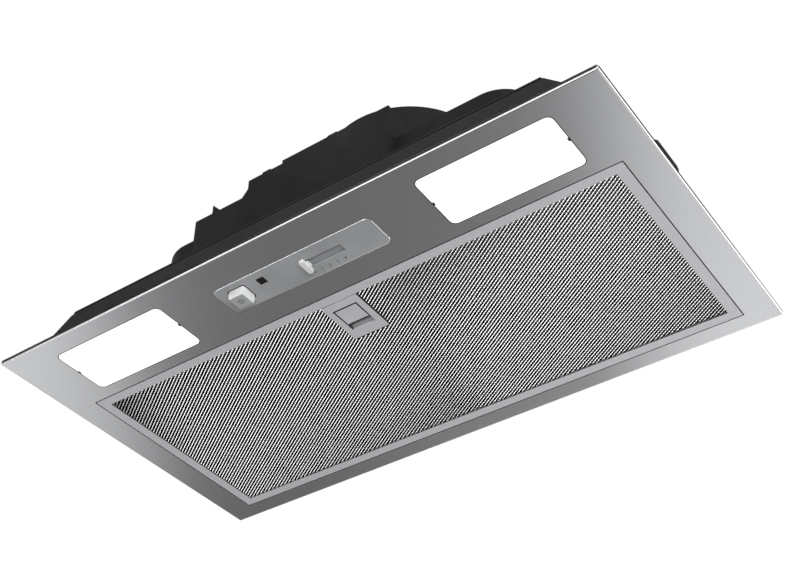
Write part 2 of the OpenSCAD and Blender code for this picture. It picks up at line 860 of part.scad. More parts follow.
module upper_casing() {
    color(c_black)
    difference() {
        union() {
            upper_form(0);
            translate([0, (mid_back - mid_front)/2, 0])
                rblock(2*(mid_x + flange), mid_front + mid_back + 2*flange, mid_r, deck_h, deck_h + flange_t);
            // Stiffening ribs on the bay and along the dome
            xz_plate([[bay_rib_x, bay_h - 1], [bay_rib_x, bay_h + rib_rise], [bay_rib_x + rib_w, bay_h],
                      [bay_rib_x + rib_w, bay_h - 1]],
                     -bay_front, -bay_front + rib_l);
            xz_plate([[-dome_x - rib_w, bay_h - 1], [-dome_x - rib_w, bay_h], [-dome_x - 1, bay_h + 9],
                      [-dome_x + 1, bay_h + 9], [-dome_x + 1, bay_h - 1]],
                     -bay_front, -bay_front + rib_l);
            xz_plate([[dome_rib_x, dome_h - 4], [dome_rib_x, dome_h - 2],
                      [dome_rib_x + rib_w, dome_h - 2], [dome_rib_x + rib_w, dome_h - 4]],
                     -dome_front, 0);
            xz_plate([[spine_x - spine_w, dome_h - 1], [spine_x - spine_w + 2, dome_h + 1],
                      [spine_x + spine_w - 2, dome_h + 1], [spine_x + spine_w, dome_h - 1]],
                     -dome_front, -plinth_r/2);
        }
        upper_form(wall);
        z_bar(plinth_r - 8, 0, outlet_y, plinth_h - 5, plinth_h + cut);
        for (p = casing_screw_places)
            z_bar(screw_hole, p[0], p[1], deck_h - cut, deck_h + flange_t + cut);
        for (p = collar_screw_places)
            z_bar(screw_r + 0.1, p[0], p[1], plinth_h - 5, plinth_h + cut);
        block(bay_x0 - cut, bay_x0 + wall + cut, hatch_y - hatch_w/2, hatch_y + hatch_w/2,
              hatch_h - hatch_rise/2, hatch_h + hatch_rise/2);
        z_bar(gland_r + 0.2, gland_x, gland_y, bay_h - 5, bay_h + cut);
    }
}

// Pan head screw: shank from h0 up, head under or over it
module screw(x, y, h_seat, length, dir) {
    z0 = dir > 0 ? h_seat - length : h_seat;
    z_bar(screw_r, x, y, z0, z0 + length);
    h1 = dir > 0 ? h_seat : h_seat - screw_head_t;
    difference() {
        z_bar(screw_head, x, y, h1, h1 + screw_head_t);
        translate([x, y, up(dir > 0 ? h1 + screw_head_t : h1)]) {
            cube([0.9, 3.6, 2], center = true);
            cube([3.6, 0.9, 2], center = true);
        }
    }
}

module casing_screws() {
    color(c_zinc)
    for (p = casing_screw_places)
        screw(p[0], p[1], deck_h + flange_t, flange_t + wall + 3, 1);
}

module plate_studs() {
    color(c_zinc)
    for (p = stud_places) {
        z_bar(screw_r, p[0], p[1], plate_t, plate_t + tub_flange_t);
        z_bar(screw_head - 0.6, p[0], p[1], plate_t + tub_flange_t, plate_t + tub_flange_t + 0.8);
    }
}

// Spiral of the scroll, in Y and height; it opens from the tongue round to the throat
function scroll_radius(a) = scroll_r0 + (scroll_r1 - scroll_r0)*a/270;
function scroll_point(a, in) = [
    fan_y + (scroll_radius(a) - in)*cos(90 - a),
    fan_h + (scroll_radius(a) - in)*sin(90 - a)
];
function scroll_outline(in, top) = concat(
    [for (a = [0:15:270]) scroll_point(a, in)],
    [[fan_y - scroll_r1 + in, top], [fan_y - 1 - in, top]]
);

module scroll_half(side) {
    x0 = side > 0 ? 0.15 : -scroll_x;
    x1 = side > 0 ? scroll_x : -0.15;
    wall_x = side > 0 ? scroll_x - scroll_wall : -scroll_x;
    color(c_black)
    difference() {
        yz_plate(scroll_outline(0, throat_top), x0, x1);
        yz_plate(scroll_outline(scroll_wall, throat_top + cut),
                 side > 0 ? -cut : -scroll_x + scroll_wall, side > 0 ? scroll_x - scroll_wall : cut);
        x_bar(inlet_r + 1, wall_x - cut, wall_x + scroll_wall + cut, fan_y, fan_h);
        if (side < 0)
            for (a = arm_angles)
                x_bar(screw_r + 0.1, wall_x - cut, wall_x + scroll_wall + cut,
                      fan_y + arm_out*cos(a), fan_h + arm_out*sin(a));
    }
}

// Rolled inlet rings that lead the air into both ends of the wheel
module inlet_rings() {
    color(c_zinc)
    for (side = [-1, 1])
        translate([side*(scroll_x - scroll_wall), fan_y, up(fan_h)])
            rotate([0, side*90, 0])
                rotate_extrude()
                    difference() {
                        translate([inlet_r - 1.2, -2])
                            square([1.9, scroll_wall + 2]);
                        translate([inlet_r - 1.2, -2])
                            circle(0.6, $fn = 24);
                    }
}

module fan_wheel() {
    color([0.30, 0.31, 0.33])
    translate([0, fan_y, up(fan_h)])
        rotate([0, 90, 0])
            difference() {
                union() {
                    translate([0, 0, -wheel_x])
                        linear_extrude(2*wheel_x)
                            for (i = [0:blades - 1])
                                rotate(i*360/blades)
                                    translate([(wheel_bore_r + wheel_r)/2 - 0.3, 0])
                                        rotate(28)
                                            square([wheel_r - wheel_bore_r - 0.2, 1], center = true);
                    cylinder(r = wheel_r - 1, h = 1.6);
                    cylinder(r = shaft_r + 4, h = 12);
                    for (z = [-wheel_x, wheel_x - 2])
                        translate([0, 0, z])
                            difference() {
                                cylinder(r = wheel_r, h = 2);
                                translate([0, 0, -cut])
                                    cylinder(r = wheel_bore_r, h = 2 + 2*cut);
                            }
                }
                translate([0, 0, -cut])
                    cylinder(r = shaft_r, h = 20);
            }
}

module motor_shaft() {
    color(c_zinc)
        x_bar(shaft_r, shaft_x0, shaft_x1, fan_y, fan_h);
}

module motor_can() {
    color(c_zinc)
    difference() {
        union() {
            x_bar(motor_r, motor_x0 + 8, motor_x1 - 4, fan_y, fan_h);
            x_bar(motor_r - 9, motor_x0, motor_x1, fan_y, fan_h);
        }
        x_bar(shaft_r + 0.5, motor_x0 - cut, motor_x1 + cut, fan_y, fan_h);
        for (x = [motor_x0 + 2, motor_x1 - 2 - bearing_l])
            x_bar(bearing_r, x, x + bearing_l, fan_y, fan_h);
        for (i = [0:9])
            translate([motor_x0 + 14, fan_y, up(fan_h)])
                rotate([i*36, 0, 0])
                    translate([0, motor_r - 2, -2])
                        cube([motor_x1 - motor_x0 - 32, 4, 4]);
    }
}

module motor_bearings() {
    color(c_brass)
    for (x = [motor_x0 + 2, motor_x1 - 2 - bearing_l])
        difference() {
            x_bar(bearing_r, x, x + bearing_l, fan_y, fan_h);
            x_bar(shaft_r + run, x - cut, x + bearing_l + cut, fan_y, fan_h);
        }
}

// Three arms from the scroll's left side to the back of the motor
module motor_bracket() {
    x1 = -scroll_x;
    color(c_zinc)
    difference() {
        union() {
            x_bar(motor_r + 2, x1 - bracket_t, x1, fan_y, fan_h);
            for (a = arm_angles)
                translate([x1 - bracket_t, fan_y, up(fan_h)])
                    rotate([a, 0, 0])
                        translate([0, 0, -arm_w/2])
                            cube([bracket_t, arm_out + 4, arm_w]);
        }
        x_bar(motor_r + 0.02, x1 - 2*bracket_t, x1 + cut, fan_y, fan_h);
        for (a = arm_angles)
            x_bar(screw_hole, x1 - 2*bracket_t, x1 + cut, fan_y + arm_out*cos(a), fan_h + arm_out*sin(a));
    }
}

module motor_screws() {
    color(c_zinc)
    for (a = arm_angles) {
        y = fan_y + arm_out*cos(a);
        h = fan_h + arm_out*sin(a);
        x_bar(screw_r, -scroll_x - bracket_t, -scroll_x + scroll_wall + 2, y, h);
        x_bar(screw_head, -scroll_x - bracket_t - screw_head_t, -scroll_x - bracket_t, y, h);
    }
}

module capacitor() {
    color([0.85, 0.86, 0.86])
        z_bar(cap_r, cap_x, cap_y, mid_h - 8 - cap_l, mid_h - 8);
}

module terminal_block() {
    color([0.9, 0.9, 0.86])
    difference() {
        block(terminal_x - terminal_w/2, terminal_x + terminal_w/2,
              terminal_y - terminal_d/2, terminal_y + terminal_d/2, terminal_h0, terminal_h1);
        for (i = [-1:1])
            z_bar(terminal_hole_r, terminal_x, terminal_y + i*terminal_d/3.5, terminal_h1 - 10, terminal_h1 + cut);
    }
}

module terminal_cover() {
    color(c_black)
    difference() {
        union() {
            translate([0, hatch_y, 0])
                block(bay_x0 - hatch_t, bay_x0, -hatch_w/2 - hatch_edge, hatch_w/2 + hatch_edge,
                      hatch_h - hatch_rise/2 - hatch_edge, hatch_h + hatch_rise/2 + hatch_edge);
            translate([0, hatch_y, 0])
                block(bay_x0, bay_x0 + wall, part_gap - hatch_w/2, hatch_w/2 - part_gap,
                      hatch_h - hatch_rise/2 + part_gap, hatch_h + hatch_rise/2 - part_gap);
        }
        translate([bay_x0 - hatch_t, hatch_y, up(hatch_h)])
            rotate([0, 90, 0])
                cylinder(r = screw_r, h = 1, center = true);
    }
}

module cable_gland() {
    color(c_black)
    difference() {
        union() {
            z_bar(gland_r, gland_x, gland_y, bay_h - wall - 4, bay_h);
            z_bar(gland_r + 2, gland_x, gland_y, bay_h, bay_h + gland_rim);
        }
        z_bar(cable_r, gland_x, gland_y, bay_h - wall - 6, bay_h + 4);
    }
}

module outlet_collar() {
    color(c_black)
    difference() {
        union() {
            z_bar(plinth_r - 0.6, 0, outlet_y, plinth_h, plinth_h + collar_foot);
            z_bar(collar_r, 0, outlet_y, plinth_h, collar_top);
        }
        difference() {
            z_bar(collar_r - collar_t, 0, outlet_y, plinth_h - cut, collar_top + cut);
            difference() {
                z_bar(collar_r, 0, outlet_y, damper_z - 3.4, damper_z - flap_t/2 - 0.3);
                z_bar(collar_r - collar_t - ledge_w, 0, outlet_y, damper_z - 5, damper_z);
            }
        }
        x_bar(damper_pin_r, -collar_r - cut, collar_r + cut, outlet_y, damper_z);
        for (p = collar_screw_places)
            z_bar(screw_hole, p[0], p[1], plinth_h - cut, plinth_h + collar_foot + cut);
    }
}

module collar_screws() {
    color(c_zinc)
    for (p = collar_screw_places)
        screw(p[0], p[1], plinth_h + collar_foot, 6, 1);
}

// Half disc of the non-return damper; its knuckles sit on the pin in turn
module damper_flap(side) {
    knuckle_l = 12;
    places = side < 0 ? [-52, 0, 52] : [-26, 26];
    color([0.35, 0.36, 0.38])
    difference() {
        union() {
            intersection() {
                z_bar(flap_r, 0, outlet_y, damper_z - flap_t/2, damper_z + flap_t/2);
                block(-collar_r, collar_r, side < 0 ? outlet_y - collar_r : outlet_y + flap_start,
                      side < 0 ? outlet_y - flap_start : outlet_y + collar_r, damper_z - 5, damper_z + 5);
            }
            for (x = places) {
                x_bar(knuckle_r, x - knuckle_l/2, x + knuckle_l/2, outlet_y, damper_z);
                block(x - knuckle_l/2, x + knuckle_l/2,
                      side < 0 ? outlet_y - flap_start - 1 : outlet_y,
                      side < 0 ? outlet_y : outlet_y + flap_start + 1,
                      damper_z - flap_t/2, damper_z + flap_t/2);
            }
        }
        x_bar(damper_pin_r + run, -collar_r, collar_r, outlet_y, damper_z);
    }
}

module damper_pin() {
    color(c_zinc)
        x_bar(damper_pin_r, -collar_r, collar_r, outlet_y, damper_z);
}

// Outline of the right side clip in X and height, from its knuckle up
clip_points = [
    [clip_pin_x + 1, clip_pin_h - 1], [clip_pin_x + clip_knuckle_r, clip_pin_h],
    [clip_pin_x + clip_out, clip_pin_h + clip_bulge], [clip_pin_x + clip_lip, clip_top],
    [clip_pin_x + clip_lip - clip_t, clip_top - 0.6],
    [clip_pin_x + clip_out - clip_t - 0.3, clip_pin_h + clip_bulge],
    [clip_pin_x + 0.4, clip_pin_h + 1]
];

module side_clip(side) {
    r = clip_corner;
    color(c_black)
    mirror([side < 0 ? 1 : 0, 0, 0])
        translate([0, clip_y, 0])
        difference() {
            union() {
                intersection() {
                    xz_plate(clip_points, -clip_l/2, clip_l/2);
                    translate([clip_pin_x - 10, 0, up(clip_top - r)])
                        rotate([0, 90, 0])
                            linear_extrude(2*clip_top) {
                                square([2*clip_top, clip_l - 2*r], center = true);
                                translate([0, -clip_l/2])
                                    square([2*clip_top, clip_l]);
                                for (e = [-1, 1])
                                    translate([0, e*(clip_l/2 - r)])
                                        circle(r);
                            }
                }
                for (e = [-1, 1])
                    y_bar(clip_knuckle_r, e*(clip_l - clip_knuckle_l)/2 - clip_knuckle_l/2,
                          e*(clip_l - clip_knuckle_l)/2 + clip_knuckle_l/2, clip_pin_x, clip_pin_h);
            }
            y_bar(clip_pin_r + run, -clip_l, clip_l, clip_pin_x, clip_pin_h);
        }
}

module clip_pins() {
    color(c_zinc)
    for (x = [-1, 1])
        y_bar(clip_pin_r, clip_y - clip_l/2 - clip_ear_t - part_gap,
              clip_y + clip_l/2 + clip_ear_t + part_gap, x*clip_pin_x, clip_pin_h);
}

// Bent spring strip between the casing's sloping end and the clip
module clip_spring(side) {
    h_foot = clip_foot_h;
    h_tip = clip_tip_h;
    foot = end_x(h_foot) + 0.05;
    tip = clip_pin_x + clip_out - clip_t - 0.8;
    color(c_zinc)
    mirror([side < 0 ? 1 : 0, 0, 0])
        xz_plate([
            [foot, h_foot], [end_x(h_foot + 8) + 0.05, h_foot + 8],
            [end_x(h_foot + 8) + 1, h_foot + 9], [tip, h_tip + 1], [tip, h_tip],
            [foot + 1.2, h_foot]
        ], clip_y - clip_spring_w/2, clip_y + clip_spring_w/2);
}

face_plate();
filter_frame();
filter_mesh();
filter_core();
filter_top_mesh();
filter_hooks();
latch_housing();
latch_slide();
latch_spring();
latch_cover();
lamp_cover(-1);  // lamp_cover_left
lamp_cover(1);  // lamp_cover_right
lamp_housing(-1);  // lamp_housing_left
lamp_housing(1);  // lamp_housing_right
lamp_socket(-1);  // lamp_socket_left
lamp_socket(1);  // lamp_socket_right
lamp_bulb(-1);  // lamp_bulb_left
lamp_bulb(1);  // lamp_bulb_right
control_panel();
control_box();
light_button();
button_spring();
light_switch();
indicator_window();
indicator_lamp();
speed_slider();
speed_switch();
lower_casing();
upper_casing();
casing_screws();
plate_studs();
scroll_half(-1);  // scroll_left
scroll_half(1);  // scroll_right
inlet_rings();
fan_wheel();
motor_shaft();
motor_can();
motor_bearings();
motor_bracket();
motor_screws();
capacitor();
terminal_block();
terminal_cover();
cable_gland();
outlet_collar();
collar_screws();
damper_flap(-1);  // damper_front
damper_flap(1);  // damper_rear
damper_pin();
side_clip(-1);  // side_clip_left
side_clip(1);  // side_clip_right
clip_pins();
clip_spring(-1);  // clip_spring_left
clip_spring(1);  // clip_spring_right
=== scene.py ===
# %% [markdown]
# # A range hood insert seen from below
#
# The insert hangs in a cabinet: a stainless face plate looks down at the hob, and a black casing with
# the blower stands on it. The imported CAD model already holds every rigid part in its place, so this
# notebook does three things: it lights the hood as in a studio, it gives each part the finish of the
# real one, and it builds anew the pieces whose real form is finer than the CAD solid, such as the
# expanded metal of the grease filter.

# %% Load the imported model
import json
import math

import bmesh
import bpy
import numpy as np
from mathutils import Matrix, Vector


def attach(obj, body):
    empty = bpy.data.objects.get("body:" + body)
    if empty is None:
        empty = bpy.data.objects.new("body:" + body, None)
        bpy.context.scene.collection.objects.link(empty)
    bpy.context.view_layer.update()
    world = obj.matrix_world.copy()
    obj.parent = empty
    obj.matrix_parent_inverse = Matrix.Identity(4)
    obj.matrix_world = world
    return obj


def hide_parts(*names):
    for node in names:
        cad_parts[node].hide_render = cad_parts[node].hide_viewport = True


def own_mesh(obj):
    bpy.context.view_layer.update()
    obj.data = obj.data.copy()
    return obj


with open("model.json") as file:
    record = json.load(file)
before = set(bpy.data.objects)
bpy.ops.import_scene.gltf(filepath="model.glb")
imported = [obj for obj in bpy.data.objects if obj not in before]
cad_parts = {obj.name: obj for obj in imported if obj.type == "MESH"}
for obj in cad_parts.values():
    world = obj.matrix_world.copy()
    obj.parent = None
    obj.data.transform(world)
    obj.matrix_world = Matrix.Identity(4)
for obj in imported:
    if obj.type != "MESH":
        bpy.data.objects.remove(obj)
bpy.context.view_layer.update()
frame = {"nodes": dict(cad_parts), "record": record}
nodes = frame["nodes"]
MM = 0.001

# %% [markdown]
# ## Camera
#
# The camera could be placed by eye, but straight edges of the plate give its place exactly: it looks up
# at the hood from the front right. The place, the two angles and the focal length come from fitting the
# plate, filter and lamp corners.

# %% Camera
CAMERA_PLACE = (0.4609, -0.6475, -0.6227)
TURN_LEFT = math.radians(34.898)
LOOK_UP = math.radians(39.945)
FOCAL_MM, SENSOR_MM = 61.17, 36

camera_data = bpy.data.cameras.new("camera")
camera_data.sensor_width = SENSOR_MM
camera_data.lens = FOCAL_MM
camera_data.clip_start = 0.01
camera = bpy.data.objects.new("camera", camera_data)
camera.location = CAMERA_PLACE
camera.rotation_euler = (math.pi / 2 + LOOK_UP, 0, TURN_LEFT)
bpy.context.scene.collection.objects.link(camera)
bpy.context.scene.camera = camera
bpy.context.scene.view_settings.view_transform = "Standard"
print("camera is", round(math.dist(CAMERA_PLACE, (0, 0, 0)), 3), "m from the plate's centre")

# %% [markdown]
# ## Two helpers
#
# Hex colours are how a finish is read off a colour card, but Blender's shaders work in linear light, so
# one function converts them. A second one adds a shader node with its settings and its links, which
# keeps every material below short enough to read.

# %% Colour and node helpers
def linear(code):
    """sRGB hex to linear light: c/12.92 below 0.04045, else ((c + 0.055)/1.055)^2.4, with alpha 1."""
    srgb = np.array([int(code[i:i + 2], 16) for i in (1, 3, 5)]) / 255
    light = np.where(srgb <= 0.04045, srgb / 12.92, ((srgb + 0.055) / 1.055) ** 2.4)
    return tuple(light.tolist()) + (1.0,)


def add(tree, kind, sockets=None, **settings):
    """Adds a node; sockets maps an input to a value or to the output that feeds it."""
    node = tree.nodes.new("ShaderNode" + kind)
    for name, value in settings.items():
        setattr(node, name, value)
    for name, value in (sockets or {}).items():
        if isinstance(value, bpy.types.NodeSocket):
            tree.links.new(value, node.inputs[name])
        else:
            node.inputs[name].default_value = value
    return node


print("mid grey #808080 is", round(linear("#808080")[0], 4), "in linear light")

# %% [markdown]
# ## White room
#
# The background is plain white. Lighting a wall until it is white would also flood the hood, so the
# world is white only for what the eye sees directly, in a reflection or through glass. What it
# sheds on matt surfaces is set apart, at a much lower level.

# %% World
AMBIENT = 0.20

world = bpy.data.worlds.new("white_room")
world.use_nodes = True
bpy.context.scene.world = world
tree = world.node_tree
tree.nodes.clear()
path = add(tree, "LightPath")
seen = add(tree, "Math", {0: path.outputs["Is Camera Ray"], 1: path.outputs["Is Glossy Ray"]},
           operation="MAXIMUM")
seen = add(tree, "Math", {0: seen.outputs[0], 1: path.outputs["Is Transmission Ray"]},
           operation="MAXIMUM")
strength = add(tree, "MapRange", {"Value": seen.outputs[0], "To Min": AMBIENT, "To Max": 1.0})
light = add(tree, "Background", {"Color": (1, 1, 1, 1), "Strength": strength.outputs["Result"]})
add(tree, "OutputWorld", {"Surface": light.outputs[0]})
print("ambient level", AMBIENT)

# %% [markdown]
# ## Floor and flags
#
# A photographer shapes satin metal by what it mirrors, not by what shines on it. The plate looks down,
# so it mirrors the floor behind the hood, which is a plain light grey that goes dark where no lamp
# reaches it. The folded rim would mirror the white room and vanish against it. So two dark flags stand
# where the rim looks. Only mirrors see them, so they take no light from the rest.

# %% Floor and flags
FLOOR_Z = -1.25
FLOOR_HALF = 15


def card(name, corners, colour):
    """A flat card through four corners, part of the studio and not of the hood."""
    mesh = bpy.data.meshes.new(name)
    mesh.from_pydata(corners, [], [(0, 1, 2, 3)])
    material = bpy.data.materials.new(name)
    material.use_nodes = True
    shader = material.node_tree.nodes["Principled BSDF"]
    shader.inputs["Base Color"].default_value = linear(colour)
    shader.inputs["Roughness"].default_value = 0.9
    shader.inputs["Specular IOR Level"].default_value = 0.1
    mesh.materials.append(material)
    made = bpy.data.objects.new(name, mesh)
    bpy.context.scene.collection.objects.link(made)
    return made


card("floor", [(FLOOR_HALF * x, FLOOR_HALF * y, FLOOR_Z) for x, y in ((-1, -1), (1, -1), (1, 1), (-1, 1))],
     "#c8c8c8")
flags = [
    card("front_flag", [(-3.0, -1.0, 0.15), (2.0, -1.9, 0.15), (2.0, -1.9, 3.0), (-3.0, -1.0, 3.0)],
         "#1c1c1c"),
    card("right_flag", [(-0.6, 3.0, 1.0), (2.6, 2.2, 1.0), (2.6, 1.4, 4.0), (-0.6, 1.8, 4.0)],
         "#1c1c1c"),
]
for flag in flags:
    for ray in ("camera", "diffuse", "transmission", "shadow"):
        setattr(flag, "visible_" + ray, False)
print("floor is", -FLOOR_Z, "m below the plate")

# %% [markdown]
# ## Lamps
#
# Two strips of light lie on the floor behind the hood and give the plate its bright left and right ends,
# with the darker floor between them. Two glows that only mirrors see draw the bright line along its
# bend. The strands of the filter are tilted, so they mirror a low place far behind the hood, and two
# small lamps stand there for them. A large lamp beside the camera lights everything that is matt, and
# two weak ones keep the top and the back from going black. One sun would be simpler, but satin metal
# under a sun shows a hot spot and is black around it.

# %% Two kinds of lamp
ABOVE_FLOOR = 0.02


def soft_lamp(name, place, aim, size, watts, mirrored_only=False):
    """A rectangular lamp of size (wide, high) in metres at place, turned towards aim."""
    data = bpy.data.lights.new(name, "AREA")
    data.shape = "RECTANGLE"
    data.size, data.size_y = size
    data.energy = watts
    lamp = bpy.data.objects.new(name, data)
    lamp.location = place
    way = Vector(aim) - Vector(place)
    lamp.rotation_euler = way.to_track_quat("-Z", "Y").to_euler()
    lamp.visible_camera = False
    lamp.visible_diffuse = not mirrored_only
    bpy.context.scene.collection.objects.link(lamp)
    return lamp


def floor_strip(name, centre, length, width, heading, watts, mirrored_only=False):
    """A strip of light that lies on the floor and shines up; heading is its angle from X in degrees."""
    place = (*centre, FLOOR_Z + ABOVE_FLOOR)
    lamp = soft_lamp(name, place, (*centre, 1), (length, width), watts, mirrored_only)
    lamp.rotation_euler = (math.pi, 0, math.radians(heading))
    return lamp


print("strips lie", ABOVE_FLOOR, "m above the floor")

# %% Lamps
floor_strip("strip_left", (-1.87, 0.33), 2.2, 1.4, 121, 11.3)
floor_strip("strip_right", (0.2, 1.87), 2.6, 1.36, 112, 11)
soft_lamp("strands_left", (-1.12, 2.6, -0.86), (0, 0, 0), (0.84, 0.58), 3.7)
soft_lamp("strands_right", (-0.36, 3.0, -0.65), (0, 0, 0), (0.84, 0.68), 5.6)
soft_lamp("beside_camera", (1.35, -1.6, -0.55), (0, 0, 0), (1.2, 1.0), 40)
soft_lamp("overhead", (-0.5, -0.2, 1.9), (0, 0, 0), (2.0, 2.0), 6)
soft_lamp("behind", (0.8, 1.9, 0.7), (0, 0, 0), (1.4, 1.4), 4)
floor_strip("front_bend_glow", (-0.72, -1.5), 2.04, 1.5, 0, 35, mirrored_only=True)
soft_lamp("right_bend_glow", (2.2, 2.15, -0.6), (0.2, 0, 0), (2.1, 1.4), 42, mirrored_only=True)

# %% [markdown]
# ## Metals
#
# Three metals show. The plate is stainless steel with a fine satin finish: short grinding marks run
# along its width and blur what it mirrors. The filter cassette is anodised aluminium, which is lighter
# and duller. Small hardware is zinc plated. They could be one shader with three colours, but it is
# the way each surface was worked that tells them apart, so the marks, their size and their depth
# are set one by one.

# %% Surface and marks
def surface(name):
    """A material with its tree, its shader and the object's own coordinates in millimetres."""
    material = bpy.data.materials.new(name)
    material.use_nodes = True
    tree = material.node_tree
    shader = tree.nodes["Principled BSDF"]
    place = add(tree, "TexCoord").outputs["Object"]
    scaled = add(tree, "VectorMath", {0: place, 1: (1 / MM,) * 3}, operation="MULTIPLY")
    return material, tree, shader, scaled.outputs[0]


def marks(tree, place, stretch, detail=3.0):
    """Noise whose features are stretch = (x, y, z) millimetres long, as grinding marks or grain."""
    inverse = tuple(1 / length for length in stretch)
    fitted = add(tree, "Mapping", {"Vector": place, "Scale": inverse}).outputs[0]
    return add(tree, "TexNoise", {"Vector": fitted, "Scale": 1.0, "Detail": detail}).outputs["Fac"]


print("one metre is", round(1 / MM), "mm in every pattern")

# %% Tones and bumps
NOISE_LOW, NOISE_HIGH = 0.3, 0.7


def vary(tree, fac, low, high):
    """Maps noise, which stays between about NOISE_LOW and NOISE_HIGH, to the range low to high."""
    return add(tree, "MapRange", {"Value": fac, "From Min": NOISE_LOW, "From Max": NOISE_HIGH,
                                  "To Min": low, "To Max": high}).outputs["Result"]


def tones(tree, fac, dark, light):
    """Blends two hex colours by noise."""
    return add(tree, "Mix", {"Factor": vary(tree, fac, 0, 1), 6: linear(dark), 7: linear(light)},
               data_type="RGBA").outputs[2]


def bumps(tree, shader, fac, depth_mm):
    """Raises the surface by depth_mm where noise is high."""
    bump = add(tree, "Bump", {"Height": fac, "Distance": depth_mm * MM, "Strength": 1.0})
    tree.links.new(bump.outputs[0], shader.inputs["Normal"])


print("noise is read between", NOISE_LOW, "and", NOISE_HIGH)

# %% Metals
def metal(name, dark, light, rough, stretch, depth_mm, metallic=1.0):
    """A metal: two close tones, a roughness range and marks of a size and depth."""
    material, tree, shader, place = surface(name)
    shader.inputs["Metallic"].default_value = metallic
    grain = marks(tree, place, stretch)
    tree.links.new(tones(tree, grain, dark, light), shader.inputs["Base Color"])
    tree.links.new(vary(tree, grain, *rough), shader.inputs["Roughness"])
    bumps(tree, shader, grain, depth_mm)
    return material


# Satin stainless: marks 2.5 mm long and 0.25 mm apart
satin_stainless = metal("satin_stainless", "#b8b9bb", "#c0c1c3", (0.24, 0.27), (2.5, 0.25, 0.25),
                        0.0003)
# Anodised aluminium sheet: etched, then covered by a clear oxide that scatters light, so it mirrors
# only in part and looks nearly the same from all sides; grain of half a millimetre
anodised_aluminium = metal("anodised_aluminium", "#c6c7ca", "#d2d3d6", (0.48, 0.60), (0.5, 0.5, 0.5),
                           0.004, 0.4)
# Aluminium strands as they leave the expanding press: bright on their sheared edges
strand_aluminium = metal("strand_aluminium", "#e6e6e6", "#f4f4f4", (0.12, 0.2), (2.5, 2.5, 2.5), 0.002)
# Rolled aluminium of the upper sheet: flattened again after expanding, which leaves it grey and duller
rolled_aluminium = metal("rolled_aluminium", "#7c7d7f", "#8e8f91", (0.38, 0.5), (2.5, 2.5, 2.5), 0.002)
# Inner layers of the filter pack: painted near black, as the shade inside the filter, far darker than
# bare aluminium, so that the holes of the face stay dark
shaded_pack_aluminium = metal("shaded_pack_aluminium", "#101011", "#1c1c1d", (0.45, 0.60), (3, 3, 3), 0.01)
# Zinc plating on pressed steel: cool, slightly cloudy spangle of 6 mm
zinc_plate = metal("zinc_plate", "#a4a8ac", "#bcc0c2", (0.30, 0.46), (6, 6, 6), 0.003)
# Ground steel shaft: rings of grinding round the bar
ground_steel = metal("ground_steel", "#b0b0b1", "#c2c2c3", (0.18, 0.26), (0.3, 6, 6), 0.001)
# Spring steel wire: drawn and oil-tempered, so darker
spring_steel = metal("spring_steel", "#707276", "#8c8e92", (0.30, 0.40), (1, 1, 8), 0.002)
# Sintered bronze of the bearings: warm and porous
sintered_bronze = metal("sintered_bronze", "#8f6d3c", "#ad8a52", (0.42, 0.55), (0.4, 0.4, 0.4), 0.01)
print("metals:", [m.name for m in bpy.data.materials if "stage" not in m.name])

# %% [markdown]
# ## Plastics, glass and glaze
#
# Moulded plastic takes its surface from the steel mould: spark-eroded steel gives the casing a fine
# dead grain, polished steel gives the button its soft shine. A plain colour would look like
# clay, so each gets the grain of its mould, a faint unevenness in tone and its own gloss.

# %% Plastics
CLOUD_MM = 35


def plastic(name, dark, light, rough, grain_mm, depth_mm, ior=1.5, coat=0.0, shine=0.5):
    """A moulded plastic: tone, gloss and the grain of its mould."""
    material, tree, shader, place = surface(name)
    shader.inputs["IOR"].default_value = ior
    shader.inputs["Coat Weight"].default_value = coat
    shader.inputs["Specular IOR Level"].default_value = shine
    cloud = marks(tree, place, (CLOUD_MM, CLOUD_MM, CLOUD_MM), 2.0)
    grain = marks(tree, place, (grain_mm, grain_mm, grain_mm))
    tree.links.new(tones(tree, cloud, dark, light), shader.inputs["Base Color"])
    tree.links.new(vary(tree, grain, *rough), shader.inputs["Roughness"])
    bumps(tree, shader, grain, depth_mm)
    return material


# ABS casing from a spark-eroded mould: grain of 0.7 mm that kills the shine
black_abs = plastic("black_abs", "#1a1919", "#222121", (0.62, 0.74), 0.7, 0.02, 1.53, shine=0.16)
# Glass-filled polypropylene of the wheel and flaps: greyer and flatter
grey_polypropylene = plastic("grey_polypropylene", "#2d2e30", "#3a3b3d", (0.50, 0.62), 1.2, 0.015, 1.49)
# The control panel is painted to match the plate: fine metallic grain in a satin lacquer
panel_lacquer = plastic("panel_lacquer", "#999b9d", "#a7a9ab", (0.34, 0.44), 0.35, 0.003, 1.5, 0.15)
# Button and knob: pale grey ABS from a polished mould
pale_abs = plastic("pale_abs", "#e0e1e2", "#e9eaeb", (0.30, 0.40), 0.5, 0.003, 1.53)
# White PBT of lamp housings, terminal block and capacitor
white_pbt = plastic("white_pbt", "#dcdcd8", "#e6e6e2", (0.42, 0.52), 0.8, 0.006, 1.55)
# Glazed steatite of the lamp sockets
steatite = plastic("steatite", "#d9d4c8", "#e4dfd4", (0.12, 0.22), 2.0, 0.004, 1.52, 0.4)
# Smoked acrylic of the indicator window: nearly black, polished
smoked_acrylic = plastic("smoked_acrylic", "#0c0c0e", "#131316", (0.06, 0.12), 3.0, 0.001, 1.49)
# Red lens of the indicator lamp
red_lens = plastic("red_lens", "#8c2018", "#a02a20", (0.12, 0.2), 2.0, 0.001, 1.49)
print("plastics ready")

# %% [markdown]
# ## Lit lamp covers
#
# Both lamps are on in the photograph, and their opal covers burn out to a flat white. An opal cover
# scatters light so evenly that its face shines the same all over. It could be lit by a real lamp
# behind it, which costs a lot of render time for the same white, so the cover itself glows just
# enough to reach white and no more.

